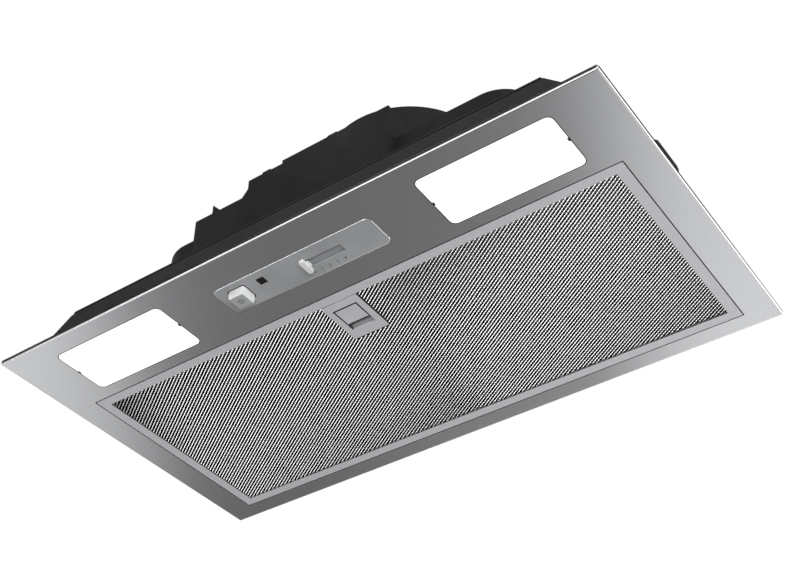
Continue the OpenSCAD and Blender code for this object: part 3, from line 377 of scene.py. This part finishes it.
# %% Lamp finishes
def glowing(name, colour, glow, strength, rough, grain_mm):
    """A material that shines by itself on top of its own surface."""
    material, tree, shader, place = surface(name)
    grain = marks(tree, place, (grain_mm, grain_mm, grain_mm))
    tree.links.new(tones(tree, grain, colour, colour), shader.inputs["Base Color"])
    tree.links.new(vary(tree, grain, *rough), shader.inputs["Roughness"])
    shader.inputs["Emission Color"].default_value = linear(glow)
    shader.inputs["Emission Strength"].default_value = strength
    return material


opal_acrylic = glowing("opal_acrylic", "#f4f4f2", "#ffffff", 0.75, (0.25, 0.35), 20)
frosted_bulb = glowing("frosted_bulb", "#fbf6ea", "#fff2dc", 0.9, (0.35, 0.45), 12)
print("lamp finishes ready")

# %% [markdown]
# ## From arrays to pieces
#
# The meshes of the filter alone have about a hundred thousand corners. A loop that adds them one by one
# would take minutes. So every new piece below is worked out as whole arrays of points in
# millimetres and handed to Blender in one go. One function turns points and faces into an object,
# makes it ride on the body that it belongs to, and hides the CAD nodes that it stands for.

# %% Mesh helpers
FACE_Z = -3.2    # the underside of the plate and the cassette


def piece(name, points, faces, material, body, replaces=(), smooth=None, outward=False):
    """A mesh from points in mm. smooth is the largest angle in degrees that still shades smoothly, and
    outward turns faces that look inwards."""
    mesh = bpy.data.meshes.new(name)
    mesh.from_pydata((np.asarray(points, float).reshape(-1, 3) * MM).tolist(), [], faces)
    if outward:
        work = bmesh.new()
        work.from_mesh(mesh)
        bmesh.ops.recalc_face_normals(work, faces=work.faces)
        work.to_mesh(mesh)
        work.free()
    if smooth is not None:
        mesh.shade_smooth()
        mesh.set_sharp_from_angle(angle=math.radians(smooth))
    mesh.materials.append(material)
    made = bpy.data.objects.new(name, mesh)
    bpy.context.scene.collection.objects.link(made)
    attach(made, body)
    for node in replaces:
        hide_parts(node)
    return made


def band(rows, cols):
    """Quads between rows of points: corners (i, j), (i, j + 1), (i + 1, j + 1), (i + 1, j), where the last
    column joins the first."""
    i, j = np.meshgrid(np.arange(rows - 1), np.arange(cols), indexing="ij")
    k = (j + 1) % cols
    return np.stack([i * cols + j, i * cols + k, (i + 1) * cols + k, (i + 1) * cols + j], -1).reshape(-1, 4)


print("helpers ready")

# %% [markdown]
# ## Expanded metal
#
# The face of the grease filter is expanded aluminium: a sheet is slit and pulled until every slit
# opens to a diamond. The diamonds here measure 4.45 by 2.97 mm, so there are about twelve
# thousand. A texture would be quicker, but it has no depth, and depth is what makes the stripes that
# run over the filter: pulling tilts each strand like the slat of a blind, so that the metal covers
# the holes from one side and opens them from another. Each knot gets the three corners of a slat, and
# each strand is a three-sided prism from knot to knot.

# %% Filter sizes
FILTER_W, FILTER_D = 471.0, 192.0
FILTER_MID_Y = 31.0
RIM = 8.8
LATCH_HALF, LATCH_END_Y = 15.5, -12.6    # the latch takes a notch out of the face mesh and the pack
LONG_WAY, SHORT_WAY = 4.45, 2.97
print("diamonds:", int((FILTER_W - 2 * RIM) * (FILTER_D - 2 * RIM) / (LONG_WAY * SHORT_WAY / 2)))

# %% Expanded metal as arrays
def expanded_metal(long_way, short_way, low, high, lean, thick, notch=True, margin=3.0):
    """Knots sit at (i*half_w/ni, j*half_d/nj) where i + j is even: pitches of long/2 and short/2, stretched
    a little so that the last knots end on the edge, which lies margin mm past the rim. Each knot carries
    the slat's section in Y and Z: its lower edge, its upper edge that leans forward by lean, and a back
    corner thick behind their middle. Strands join knot (i, j) to (i + 1, j + 1) and (i + 1, j - 1)."""
    half_w = FILTER_W / 2 - RIM + margin
    half_d = FILTER_D / 2 - RIM + margin
    ni, nj = round(half_w / (long_way / 2)), round(half_d / (short_way / 2))
    i, j = np.meshgrid(np.arange(-ni, ni + 1), np.arange(-nj, nj + 1), indexing="ij")
    x = i * half_w / ni
    y = j * half_d / nj + FILTER_MID_Y
    there = (i + j) % 2 == 0
    if notch:
        there &= ~((np.abs(x) < LATCH_HALF) & (y < LATCH_END_Y))
    number = np.where(there, np.cumsum(there).reshape(there.shape) - 1, -1)
    section = np.array([(lean / 2, low), (-lean / 2, high), (thick, (low + high) / 2 + thick)])
    x, y = x[there], y[there]
    points = np.empty((len(x), 3, 3))
    points[..., 0] = x[:, None]
    points[..., 1] = y[:, None] + section[None, :, 0]
    points[..., 2] = FACE_Z + section[None, :, 1]
    joins = []
    for step in (1, -1):
        a = number[:-1, :-1] if step == 1 else number[:-1, 1:]
        b = number[1:, 1:] if step == 1 else number[1:, :-1]
        both = (a >= 0) & (b >= 0)
        joins.append(np.stack([a[both], b[both]], -1))
    a, b = np.concatenate(joins).T
    faces = [np.stack([3 * a + c, 3 * b + c, 3 * b + (c + 1) % 3, 3 * a + (c + 1) % 3], -1)
             for c in range(3)]
    return points, np.concatenate(faces)


points, faces = expanded_metal(LONG_WAY, SHORT_WAY, low=0.26, high=0.50, lean=-0.8, thick=0.12, margin=-0.1)
piece("filter_face_mesh", points, faces.tolist(), strand_aluminium, "filter",
      replaces=["filter_mesh"], outward=True)
print("face mesh:", len(points), "knots,", 2 * len(faces), "triangles")

# %% [markdown]
# ## Pack and top mesh
#
# Behind the face lie looser layers of the same metal that catch the grease, and a second fine sheet
# closes the top. The CAD model has one solid block for the layers, which would show as a wall behind
# the holes. Layers with gaps between them let the eye sink into the filter, and the dark inside of the
# hood makes the holes dark. The layers themselves are painted near black, as painted shade, so that
# they add no light to the holes.

# %% Pack layers
LAYER_LONG, LAYER_SHORT, LAYER_HIGH = 9.0, 6.0, 1.3
layers = [expanded_metal(LAYER_LONG, LAYER_SHORT, low, low + LAYER_HIGH, lean, thick=0.3)
          for low, lean in ((2.2, 1.2), (4.1, -1.2), (6.0, 1.2))]
points = np.concatenate([p.reshape(-1, 3) for p, f in layers])
offset = np.cumsum([0] + [p.size // 3 for p, f in layers[:-1]])
faces = np.concatenate([f + o for (p, f), o in zip(layers, offset)])
piece("filter_pack", points, faces.tolist(), shaded_pack_aluminium, "filter",
      replaces=["filter_core"], outward=True)
print("pack:", 2 * len(faces), "triangles in", len(layers), "layers")

# %% Top mesh
points, faces = expanded_metal(LONG_WAY, SHORT_WAY, low=7.5, high=8.25, lean=-0.7, thick=0.18, notch=False)
piece("filter_top_face", points, faces.tolist(), rolled_aluminium, "filter",
      replaces=["filter_top_mesh"], outward=True)
print("top mesh:", 2 * len(faces), "triangles")

# %% [markdown]
# ## Finish of every slot
#
# The record names the finish of each part by a slot. Finishes could be given to the parts one by one,
# but then a new part is easily forgotten. One table joins the slots to the materials above, and each
# CAD part takes its own, so no part stays bare.

# %% Finishes by slot
finish_of = {
    "satin_stainless": satin_stainless, "filter_aluminium": anodised_aluminium,
    "filter_pad": shaded_pack_aluminium, "lamp_opal": opal_acrylic, "white_plastic": white_pbt,
    "lamp_ceramic": steatite, "bulb_glass": frosted_bulb, "grey_panel": panel_lacquer,
    "light_plastic": pale_abs, "indicator_dark": smoked_acrylic, "indicator_red": red_lens,
    "black_plastic": black_abs, "dark_plastic": grey_polypropylene, "zinc_steel": zinc_plate,
    "spring_steel": spring_steel, "ground_steel": ground_steel, "bearing_bronze": sintered_bronze,
}
record = frame["record"]
slot_of = {part["node"]: part["material_slot"] for part in record["subparts"]}
body_of = {node: body for body, members in record["behaviour"]["bodies"].items() for node in members}
for node, slot in slot_of.items():
    mesh = nodes[node].data
    mesh.materials.clear()
    mesh.materials.append(finish_of[slot])
print("finished", len(slot_of), "CAD nodes")

# %% [markdown]
# ## Softened edges
#
# A pressed or moulded edge is never sharp: it has a small round that catches a line of light or sinks
# into shade, and the eye reads the gap beside a part by that line. CAD edges are sharp. So the parts
# that show get a merged copy with rounded edges. Where two sheets meet, the round is also the place
# where the bright surface ends and the cut edge begins, and it can take a dark finish that paints the
# shade in the gap beside it.

# %% Rounded edges
SHARP = math.radians(35)


def rounds(made, width, segments, edge=None, where=None):
    """Rounds edges by width mm. edge is the finish of the rounds, and where picks the edges by their
    middles in mm; without it, every edge that turns by more than SHARP is rounded."""
    mesh = made.data
    bevel = made.modifiers.new("rounds", "BEVEL")
    bevel.width = width * MM
    bevel.segments = segments
    bevel.angle_limit = SHARP
    bevel.harden_normals = not where
    if where:
        corners = np.empty(len(mesh.vertices) * 3)
        mesh.vertices.foreach_get("co", corners)
        ends = np.empty(len(mesh.edges) * 2, np.int32)
        mesh.edges.foreach_get("vertices", ends)
        middles = corners.reshape(-1, 3)[ends.reshape(-1, 2)].mean(1) / MM
        bevel.limit_method = "WEIGHT"
        bevel.edge_weight = "rounded_%d" % len(made.modifiers)
        weights = mesh.attributes.new(bevel.edge_weight, "FLOAT", "EDGE")
        weights.data.foreach_set("value", where(middles).astype(np.float32))
    if edge:
        bevel.material = len(mesh.materials)
        mesh.materials.append(edge)


print("edges over", round(math.degrees(SHARP)), "degrees are rounded")

# %% Softened copies
SMOOTH = math.radians(30)
FLAT = math.radians(0.5)
MERGE_MM = 0.002


def softened(node, width, segments=2, edge=None, where=None):
    """A merged copy of a CAD part with its edges rounded. With where, only the edges that it picks are, and
    the faces stay flat."""
    work = bmesh.new()
    work.from_mesh(nodes[node].data)
    work.transform(nodes[node].matrix_world)
    bmesh.ops.remove_doubles(work, verts=work.verts, dist=MERGE_MM * MM)
    bmesh.ops.dissolve_limit(work, angle_limit=FLAT, verts=work.verts, edges=work.edges)
    mesh = bpy.data.meshes.new(node + "_soft")
    work.to_mesh(mesh)
    work.free()
    if not where:
        mesh.shade_smooth()
        mesh.set_sharp_from_angle(angle=SMOOTH)
    mesh.materials.append(finish_of[slot_of[node]])
    made = bpy.data.objects.new(node + "_soft", mesh)
    bpy.context.scene.collection.objects.link(made)
    rounds(made, width, segments, edge, where)
    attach(made, body_of[node])
    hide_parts(node)
    return made


# Painted shade for the gaps between parts, on sheared metal and on plastic walls alike: dark and unpolished
gap_shade = metal("gap_shade", "#1d1e1f", "#292a2b", (0.5, 0.6), (0.4, 0.4, 0.4), 0.002, 0.6)
print("corners nearer than", MERGE_MM, "mm become one")

# %% [markdown]
# ## Paint, moves and cuts
#
# A softened copy can be worked on further, which a CAD part itself never is. One tool paints the faces
# that a test picks, one moves corners, and one cuts faces across, so that each side of the cut can be
# painted or bent. It could be done by hand in edit mode, but a test on place and direction can be read
# and repeated.

# %% Paint and moves
def paint(made, material, chosen):
    """Gives material to the faces that chosen picks by their centres in mm and their normals."""
    mesh = made.data
    centres, normals = np.empty((2, len(mesh.polygons) * 3))
    mesh.polygons.foreach_get("center", centres)
    mesh.polygons.foreach_get("normal", normals)
    picked = chosen(centres.reshape(-1, 3) / MM, normals.reshape(-1, 3))
    index = np.zeros(len(mesh.polygons), np.int32)
    mesh.polygons.foreach_get("material_index", index)
    index[picked] = len(mesh.materials)
    mesh.materials.append(material)
    mesh.polygons.foreach_set("material_index", index)
    return int(picked.sum())


def moved(made, change):
    """Moves corners of a copy: change gets them as an array of points in mm and alters it in place."""
    corners = np.empty(len(made.data.vertices) * 3)
    made.data.vertices.foreach_get("co", corners)
    corners = corners.reshape(-1, 3) / MM
    change(corners)
    made.data.vertices.foreach_set("co", (corners * MM).ravel())


print("tools:", paint.__name__, moved.__name__)

# %% Cuts and walls
def cut_across(made, axis, level):
    """Cuts the faces of a copy along the plane where axis (0, 1 or 2) equals level in mm."""
    work = bmesh.new()
    work.from_mesh(made.data)
    bmesh.ops.bisect_plane(work, geom=work.verts[:] + work.edges[:] + work.faces[:], dist=1e-6,
                           plane_co=np.eye(3)[axis] * level * MM, plane_no=np.eye(3)[axis])
    work.to_mesh(made.data)
    work.free()


def upright(normals, tilt=0.3):
    """Picks faces that stand on edge: the Z of their normal is below tilt."""
    return np.abs(normals[:, 2]) < tilt


print("a wall and a floor:", upright(np.array([(1, 0, 0), (0, 0, 1)])).tolist())

# %% [markdown]
# ## Plate and cassette
#
# Plate and cassette are thin sheet with bright faces. The sheared walls of the plate's openings and the
# outer sides of the cassette look into the gap between them, so they are painted dark as the shade in
# that gap, and so are the small rounds beside them. That painted shade draws the fine line around the
# filter, the panel and the lamps.

# %% Plate and cassette
PLATE_WALLS_X, PLATE_WALLS_Y = 250, 134      # walls nearer to the middle than this belong to openings
CASSETTE_SIDE_X, CASSETTE_SIDE_Y = 234, 94   # walls farther from its middle are the cassette's outside

# Painted shade: the plate's rounds and the walls of its openings are dark
plate = softened("face_plate", 0.14, 1, gap_shade)
dark = paint(plate, gap_shade, lambda c, n: upright(n) & (np.abs(c[:, 0]) < PLATE_WALLS_X)
             & (np.abs(c[:, 1]) < PLATE_WALLS_Y))
print("plate openings:", dark, "edge faces")
# Painted shade: the cassette's rounds and its outer sides are dark
cassette = softened("filter_frame", 0.3, 2, gap_shade)
dark = paint(cassette, gap_shade, lambda c, n: upright(n) & (
    (np.abs(c[:, 0]) > CASSETTE_SIDE_X) | (np.abs(c[:, 1] - FILTER_MID_Y) > CASSETTE_SIDE_Y)))
print("cassette:", dark, "side faces")

# %% [markdown]
# ## Casing and inner parts
#
# Moulded casings and covers are round at every edge, because plastic doesn't fill a sharp corner of the
# mould, and pressed sheet is only a little sharper. The wing of each side clip is a leaf of sheet with
# arched ends. The CAD clip has a plain wing of the same length, height and reach. So its copy is cut
# into strips, and the corners of the strips are drawn in until they follow the arch.

# %% Rounded parts
soft = {node: softened(node, width) for node, width in (
    ("lower_casing", 0.5), ("upper_casing", 0.6), ("outlet_collar", 0.5), ("side_clip_left", 0.5),
    ("side_clip_right", 0.5), ("cable_gland", 0.3), ("terminal_cover", 0.5), ("lamp_housing_left", 0.5),
    ("lamp_housing_right", 0.5), ("control_box", 0.5), ("latch_cover", 0.2), ("filter_hooks", 0.2),
    ("scroll_left", 0.4), ("scroll_right", 0.4), ("damper_front", 0.3), ("damper_rear", 0.3),
    ("motor_can", 0.6), ("terminal_block", 0.3))}

# %% Arched wings
ARCH_FRONT_Y, ARCH_BACK_Y, ARCH_FOOT_Z = -27, -13, 13
WING_CUTS = np.linspace(-39, -3, 13)


def arched(points):
    """Draws the ends of a wing in along X by (8*a^2 + 3.2*b^2)*f mm, so that its outline is an arch: a runs
    from 0 to 1 over 8 mm at the front end, b over 11 mm at the back and f over 14 mm of height."""
    a = np.clip((ARCH_FRONT_Y - points[:, 1]) / 8, 0, 1)
    b = np.clip((points[:, 1] - ARCH_BACK_Y) / 11, 0, 1)
    f = np.clip((points[:, 2] - ARCH_FOOT_Z) / 14, 0, 1)
    points[:, 0] -= np.sign(points[:, 0]) * (8 * a ** 2 + 3.2 * b ** 2) * f


for name in ("side_clip_left", "side_clip_right"):
    for level in WING_CUTS:
        cut_across(soft[name], 1, level)
    moved(soft[name], arched)
print("wings are cut at", len(WING_CUTS), "places")

# %% [markdown]
# ## A finish that falls into shade
#
# Two hollows lie in the shade of what stands beside them: the scoop behind the finger pad and the groove
# of the slider. The shade is only a few millimetres long and fades away from its wall. Lamps alone would
# have to be very small to draw it, so the finish itself goes from dark to light along Y.

# %% A finish with a gradient
def shaded(name, dark, light, start_y, end_y, metallic):
    """A finish whose tone goes from dark at start_y to light at end_y, in mm."""
    material, tree, shader, place = surface(name)
    away = add(tree, "SeparateXYZ", {0: place}).outputs["Y"]
    part = add(tree, "MapRange", {"Value": away, "From Min": start_y, "From Max": end_y}).outputs["Result"]
    blend = add(tree, "Mix", {"Factor": part, 6: linear(dark), 7: linear(light)}, data_type="RGBA")
    fine = marks(tree, place, (0.5, 0.5, 0.5))
    tree.links.new(blend.outputs[2], shader.inputs["Base Color"])
    tree.links.new(vary(tree, fine, 0.5, 0.6), shader.inputs["Roughness"])
    bumps(tree, shader, fine, 0.004)
    shader.inputs["Metallic"].default_value = metallic
    return material


SCOOP_Y = (-28.4, -25.4)
GROOVE_Y = (-105.0, -103.2)
scoop_shade = shaded("scoop_shade", "#050505", "#a6a7a9", *SCOOP_Y, 0.3)
# Painted shade of the groove's wall on the slider's strip, fading into the panel's tone
strip_lacquer_and_shade = shaded("strip_lacquer_and_shade", "#3c3d3f", "#919395", *GROOVE_Y, 0.0)
print("shades end after", [round(end - start, 1) for start, end in (SCOOP_Y, GROOVE_Y)], "mm")

# %% [markdown]
# ## Latch of the cassette
#
# The finger pad slides in a housing on the front edge of the cassette. Around the pad there is a narrow
# gap, and behind it the floor is scooped out for the fingertip. The scoop falls into shade next to the
# pad and comes back to the light at its far end; that shade is painted into its finish. The rim of the
# housing's opening is round and painted dark as shade, and so are the pad's walls and the housing's
# flanks. The pad's face is drawn in a little, because the real gap is wider than the CAD model's.

# %% Housing of the latch
HOUSING_LOW_Z = -3.99
HOUSING_HALF = 15
OPENING_HALF, OPENING_Y = 10.6, (-49.2, -24)

# Painted shade: the opening's round rim, its walls and the housing's flanks are dark
housing = softened("latch_housing", 0.4, 2, gap_shade, lambda m: (
    (m[:, 2] < HOUSING_LOW_Z) & (np.abs(m[:, 0]) < OPENING_HALF)
    & (m[:, 1] > OPENING_Y[0]) & (m[:, 1] < OPENING_Y[1])))
opening = paint(housing, gap_shade, lambda c, n: upright(n) & (np.abs(c[:, 0]) < 11)
                & (c[:, 1] < -31.1) & (c[:, 1] > -50))
flanks = paint(housing, gap_shade, lambda c, n: (np.abs(n[:, 0]) > 0.7) & (np.abs(c[:, 0]) > HOUSING_HALF))
print("dark faces:", opening, "in the opening,", flanks, "on the flanks")

# %% Finger pad
def narrower_pad(points):
    """Draws the pad's face in: x becomes 0.945*x at its sides, and its front edge moves back by 0.55 mm."""
    face = points[:, 2] < -1.75
    points[face & (np.abs(points[:, 0]) > 9.9), 0] *= 0.945
    points[face & (points[:, 1] < -48.3), 1] += 0.55


pad = softened("latch_slide", 0.2, 1, gap_shade)
moved(pad, narrower_pad)
# Painted shade: the pad's walls are dark, and the plate under the pad fades from dark to light in the scoop
paint(pad, gap_shade, lambda c, n: upright(n) & (c[:, 2] < -1.6) & (c[:, 1] < -32))
paint(pad, scoop_shade, lambda c, n: (n[:, 2] < -0.9) & (c[:, 2] > -2.6))
print("latch has", len(housing.data.polygons) + len(pad.data.polygons), "faces")

# %% [markdown]
# ## Control panel
#
# The panel is a lacquered inlay. Its round all round takes a bright polished metal in place of the
# lacquer, a painted highlight that the lamps then place along the edge. The walls of the holes for the
# button and for the indicator window are painted dark as shade. The button's hole is drawn 6 % wider
# than the CAD model's, so that the gap around the button shows.

# %% Panel
PANEL_MID_Y = -101.7
BEVEL_X, BEVEL_Y = 64.9, 14.5      # edges farther out than this are the panel's outline
HOLES_MID_X = -45                  # between the button and the window
BUTTON_AT = (-52.3, -102.65)
# Painted highlight: a bright polished metal for the panel's round, brighter than the lacquer beside it
highlight_trim = metal("highlight_trim", "#d2d4d6", "#dcdee0", (0.16, 0.24), (0.4, 0.4, 0.4), 0.001)


def wider_hole(points):
    """Moves the corners within 12 mm of the button away from its centre by 0.06 of their distance."""
    around = (np.abs(points[:, :2] - BUTTON_AT) < 12).all(1)
    points[around, :2] += 0.06 * (points[around, :2] - BUTTON_AT)


inlay = softened("control_panel", 0.45, 3, highlight_trim, lambda m: (m[:, 2] < -3.39)
                 & ((np.abs(m[:, 0]) > BEVEL_X) | (np.abs(m[:, 1] - PANEL_MID_Y) > BEVEL_Y)))
moved(inlay, wider_hole)
# Painted shade: the walls of the button's and the window's holes are dark
holes = paint(inlay, gap_shade, lambda c, n: upright(n, 0.4) & (np.abs(c[:, 0] - HOLES_MID_X) < 20)
              & (np.abs(c[:, 1] - PANEL_MID_Y) < 13))
print("panel has", holes, "dark faces in its holes")

# %% [markdown]
# ## Button, knob and window
#
# Button and knob are pale plastic. The button's downward face is painted a greyer tone, as painted
# shade, so its flanks look lit beside it, and its foot is painted dark as shade where it sinks into
# the panel. The strip that closes the slider's groove moves with the knob. It has the panel's tone,
# with the painted shade of the groove's wall.

# %% Button, knob and window
BUTTON_FOOT_Z, BUTTON_FACE_Z = -3.42, -10.195
# Painted shade: the button's downward face is a greyer tone than its pale flanks
shaded_button_face = plastic("shaded_button_face", "#a6a8aa", "#b0b2b4", (0.38, 0.48), 0.4, 0.003, 1.53)


def lifted_face(points):
    """Raises the lowest corners of the button by 0.03 mm, which leaves room for the printed sign."""
    points[points[:, 2] < -10.19, 2] += 0.03


button = softened("light_button", 0.5, 3)
moved(button, lifted_face)
cut_across(button, 2, BUTTON_FOOT_Z)
# Painted shade: the button's foot, above the panel's face, is dark
paint(button, gap_shade, lambda c, n: c[:, 2] > BUTTON_FOOT_Z)
paint(button, shaded_button_face, lambda c, n: (n[:, 2] < -0.9) & (c[:, 2] < -10))
knob = softened("speed_slider", 0.25, 1)
# Painted shade: the strip in the groove goes dark towards its front wall
paint(knob, strip_lacquer_and_shade, lambda c, n: c[:, 2] > -3.6)
softened("indicator_window", 0.15, 2)
button_low = min(v.co.z for v in button.data.vertices) / MM
print("button stands", round(FACE_Z - button_low, 2), "mm proud")

# %% [markdown]
# ## Printed marks
#
# The button carries a small lamp sign and the slider a row of plain numbers, so that the user knows
# which step is set. They could be an image on the surface, but flat pieces of ink a few hundredths of a
# millimetre above it stay sharp from near. From below the world is seen mirrored, so the drawing is
# turned over before it is placed.

# %% Ink and its drawings
ink = plastic("printing_ink", "#161617", "#1e1e1f", (0.45, 0.55), 0.3, 0.001)


def sign(radius, gap, reach, width, rays=8, segments=32):
    """A ring from 0.7*radius to radius, and rays from radius + gap to reach: rectangles turned by
    2*pi*k/rays."""
    turn = np.arange(segments) * 2 * np.pi / segments
    circle = np.stack([np.cos(turn), np.sin(turn)], -1)
    ring = np.concatenate([0.7 * radius * circle, radius * circle])
    near, half = radius + gap, width / 2
    box = np.array([(near, -half), (reach, -half), (reach, half), (near, half)])
    angle = np.arange(rays) * 2 * np.pi / rays
    cos, sin = np.cos(angle), np.sin(angle)
    spin = np.stack([np.stack([cos, sin], -1), np.stack([-sin, cos], -1)], 1)
    corners = 2 * segments + np.arange(4 * rays).reshape(-1, 4)
    points = np.concatenate([ring, (box[None] @ spin).reshape(-1, 2)])
    return points, band(2, segments).tolist() + corners.tolist()


def printed(name, flat, faces, centre, level, body):
    """Lays a flat drawing (x, y) on a face that looks down: y is turned over so it reads from below."""
    height = np.full(len(flat), level)
    points = np.column_stack([centre[0] + flat[:, 0], centre[1] - flat[:, 1], height])
    return piece(name, points, faces, ink, body)


print("ink is", ink.name)

# %% Lamp sign
flat, faces = sign(radius=1.2, gap=0.5, reach=2.9, width=0.6)
printed("lamp_sign", flat, faces, BUTTON_AT, BUTTON_FACE_Z, "light_button")
print("lamp sign:", len(faces), "faces")

# %% Numbers
NUMBERS, NUMBER_MM = 5, 4.0
FIRST_X, PITCH_X, NUMBERS_Y, NUMBERS_Z = 5.9, 6.8, -92.0, -3.43

for number in range(NUMBERS):
    text = bpy.data.curves.new("number", "FONT")
    text.body = str(number)
    text.size = NUMBER_MM
    text.align_x = "CENTER"
    text.align_y = "CENTER"
    drawn = bpy.data.objects.new("number", text)
    mesh = drawn.to_mesh()
    flat = np.array([v.co[:2] for v in mesh.vertices])
    faces = [tuple(p.vertices) for p in mesh.polygons]
    printed("number_%d" % number, flat, faces, (FIRST_X + PITCH_X * number, NUMBERS_Y), NUMBERS_Z,
            "hood")
    drawn.to_mesh_clear()
    bpy.data.objects.remove(drawn)
print("printed", NUMBERS, "numbers")

# %% [markdown]
# ## Lamp covers
#
# Only the face of an opal cover glows evenly. Its flanks sit in the plate's opening and don't glow.
# They take a dark grey in place of the white opal, as painted shade, which draws the thin dark line
# around it and darkens the small notch at each short end, where a screwdriver prises the cover out. So
# the face glows and everything else of the cover takes that unlit, shaded grey.

# %% Covers
# Painted shade: dark grey for the cover's flanks and rounds, far darker than the opal of its face
shaded_unlit_opal = plastic("shaded_unlit_opal", "#5c5d5e", "#666768", (0.35, 0.45), 1.0, 0.002)
for name in ("left", "right"):
    cover = softened("lamp_cover_" + name, 0.3, 2, shaded_unlit_opal)
    unlit = paint(cover, shaded_unlit_opal, lambda c, n: n[:, 2] > -0.5)
    print(name, "cover:", unlit, "unlit faces")

# %% [markdown]
# ## Springs
#
# Two coil springs bring the button and the latch back. The CAD model has them as plain tubes. A Screw
# modifier could wind them, but the formula gives their length and their closed ends exactly.

# %% Coils
def coil(radius, wire, length, turns, around=10, steps=40):
    """A tube of radius wire round the line (R*cos a, R*sin a, L*a/(2*pi*turns)), for a from 0 to
    2*pi*turns, with R = radius - wire and L = length - 2*wire."""
    a = np.linspace(0, 2 * np.pi * turns, turns * steps + 1)[:, None]
    b = (np.arange(around) * 2 * np.pi / around)[None]
    reach = radius - wire + wire * np.cos(b)
    along = wire + (length - 2 * wire) * a / a[-1] + wire * np.sin(b)
    points = np.stack([reach * np.cos(a), reach * np.sin(a), along], -1)
    start = np.arange(around)
    ends = [start[::-1].tolist(), (start + (len(a) - 1) * around).tolist()]
    return points.reshape(-1, 3), band(len(a), around).tolist() + ends


print("a coil of one turn has", len(coil(5.0, 0.35, 1.3, 1)[1]), "faces")

# %% Coil springs
points, faces = coil(radius=5.0, wire=0.35, length=7.7, turns=6)
button_coil = piece("button_coil", points + (*BUTTON_AT, 1.1), faces, spring_steel,
                    body_of["button_spring"], replaces=["button_spring"],
                    smooth=60, outward=True)
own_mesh(button_coil)
points, faces = coil(radius=1.1, wire=0.2, length=13.0, turns=12)
latch_coil = piece("latch_coil", points[:, [0, 2, 1]] + (0, -50.3, 0.3), faces, spring_steel,
                   body_of["latch_spring"], replaces=["latch_spring"], smooth=60,
                   outward=True)
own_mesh(latch_coil)
print("coils:", [len(o.data.polygons) for o in (button_coil, latch_coil)], "faces")

# %% [markdown]
# ## Strips behind the side clips
#
# A bent strip of spring steel holds each side clip out, and it flattens against the casing's sloping end
# when the clip folds in. It could be bent in a true curve by a chain of small joints, but the motion is
# hardly seen. Here it is only a softened copy of the CAD strip and keeps its shape.

# %% Clip strips
for side, name in ((-1, "left"), (1, "right")):
    strip = softened("clip_spring_" + name, 0.15, 1)
    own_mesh(strip)
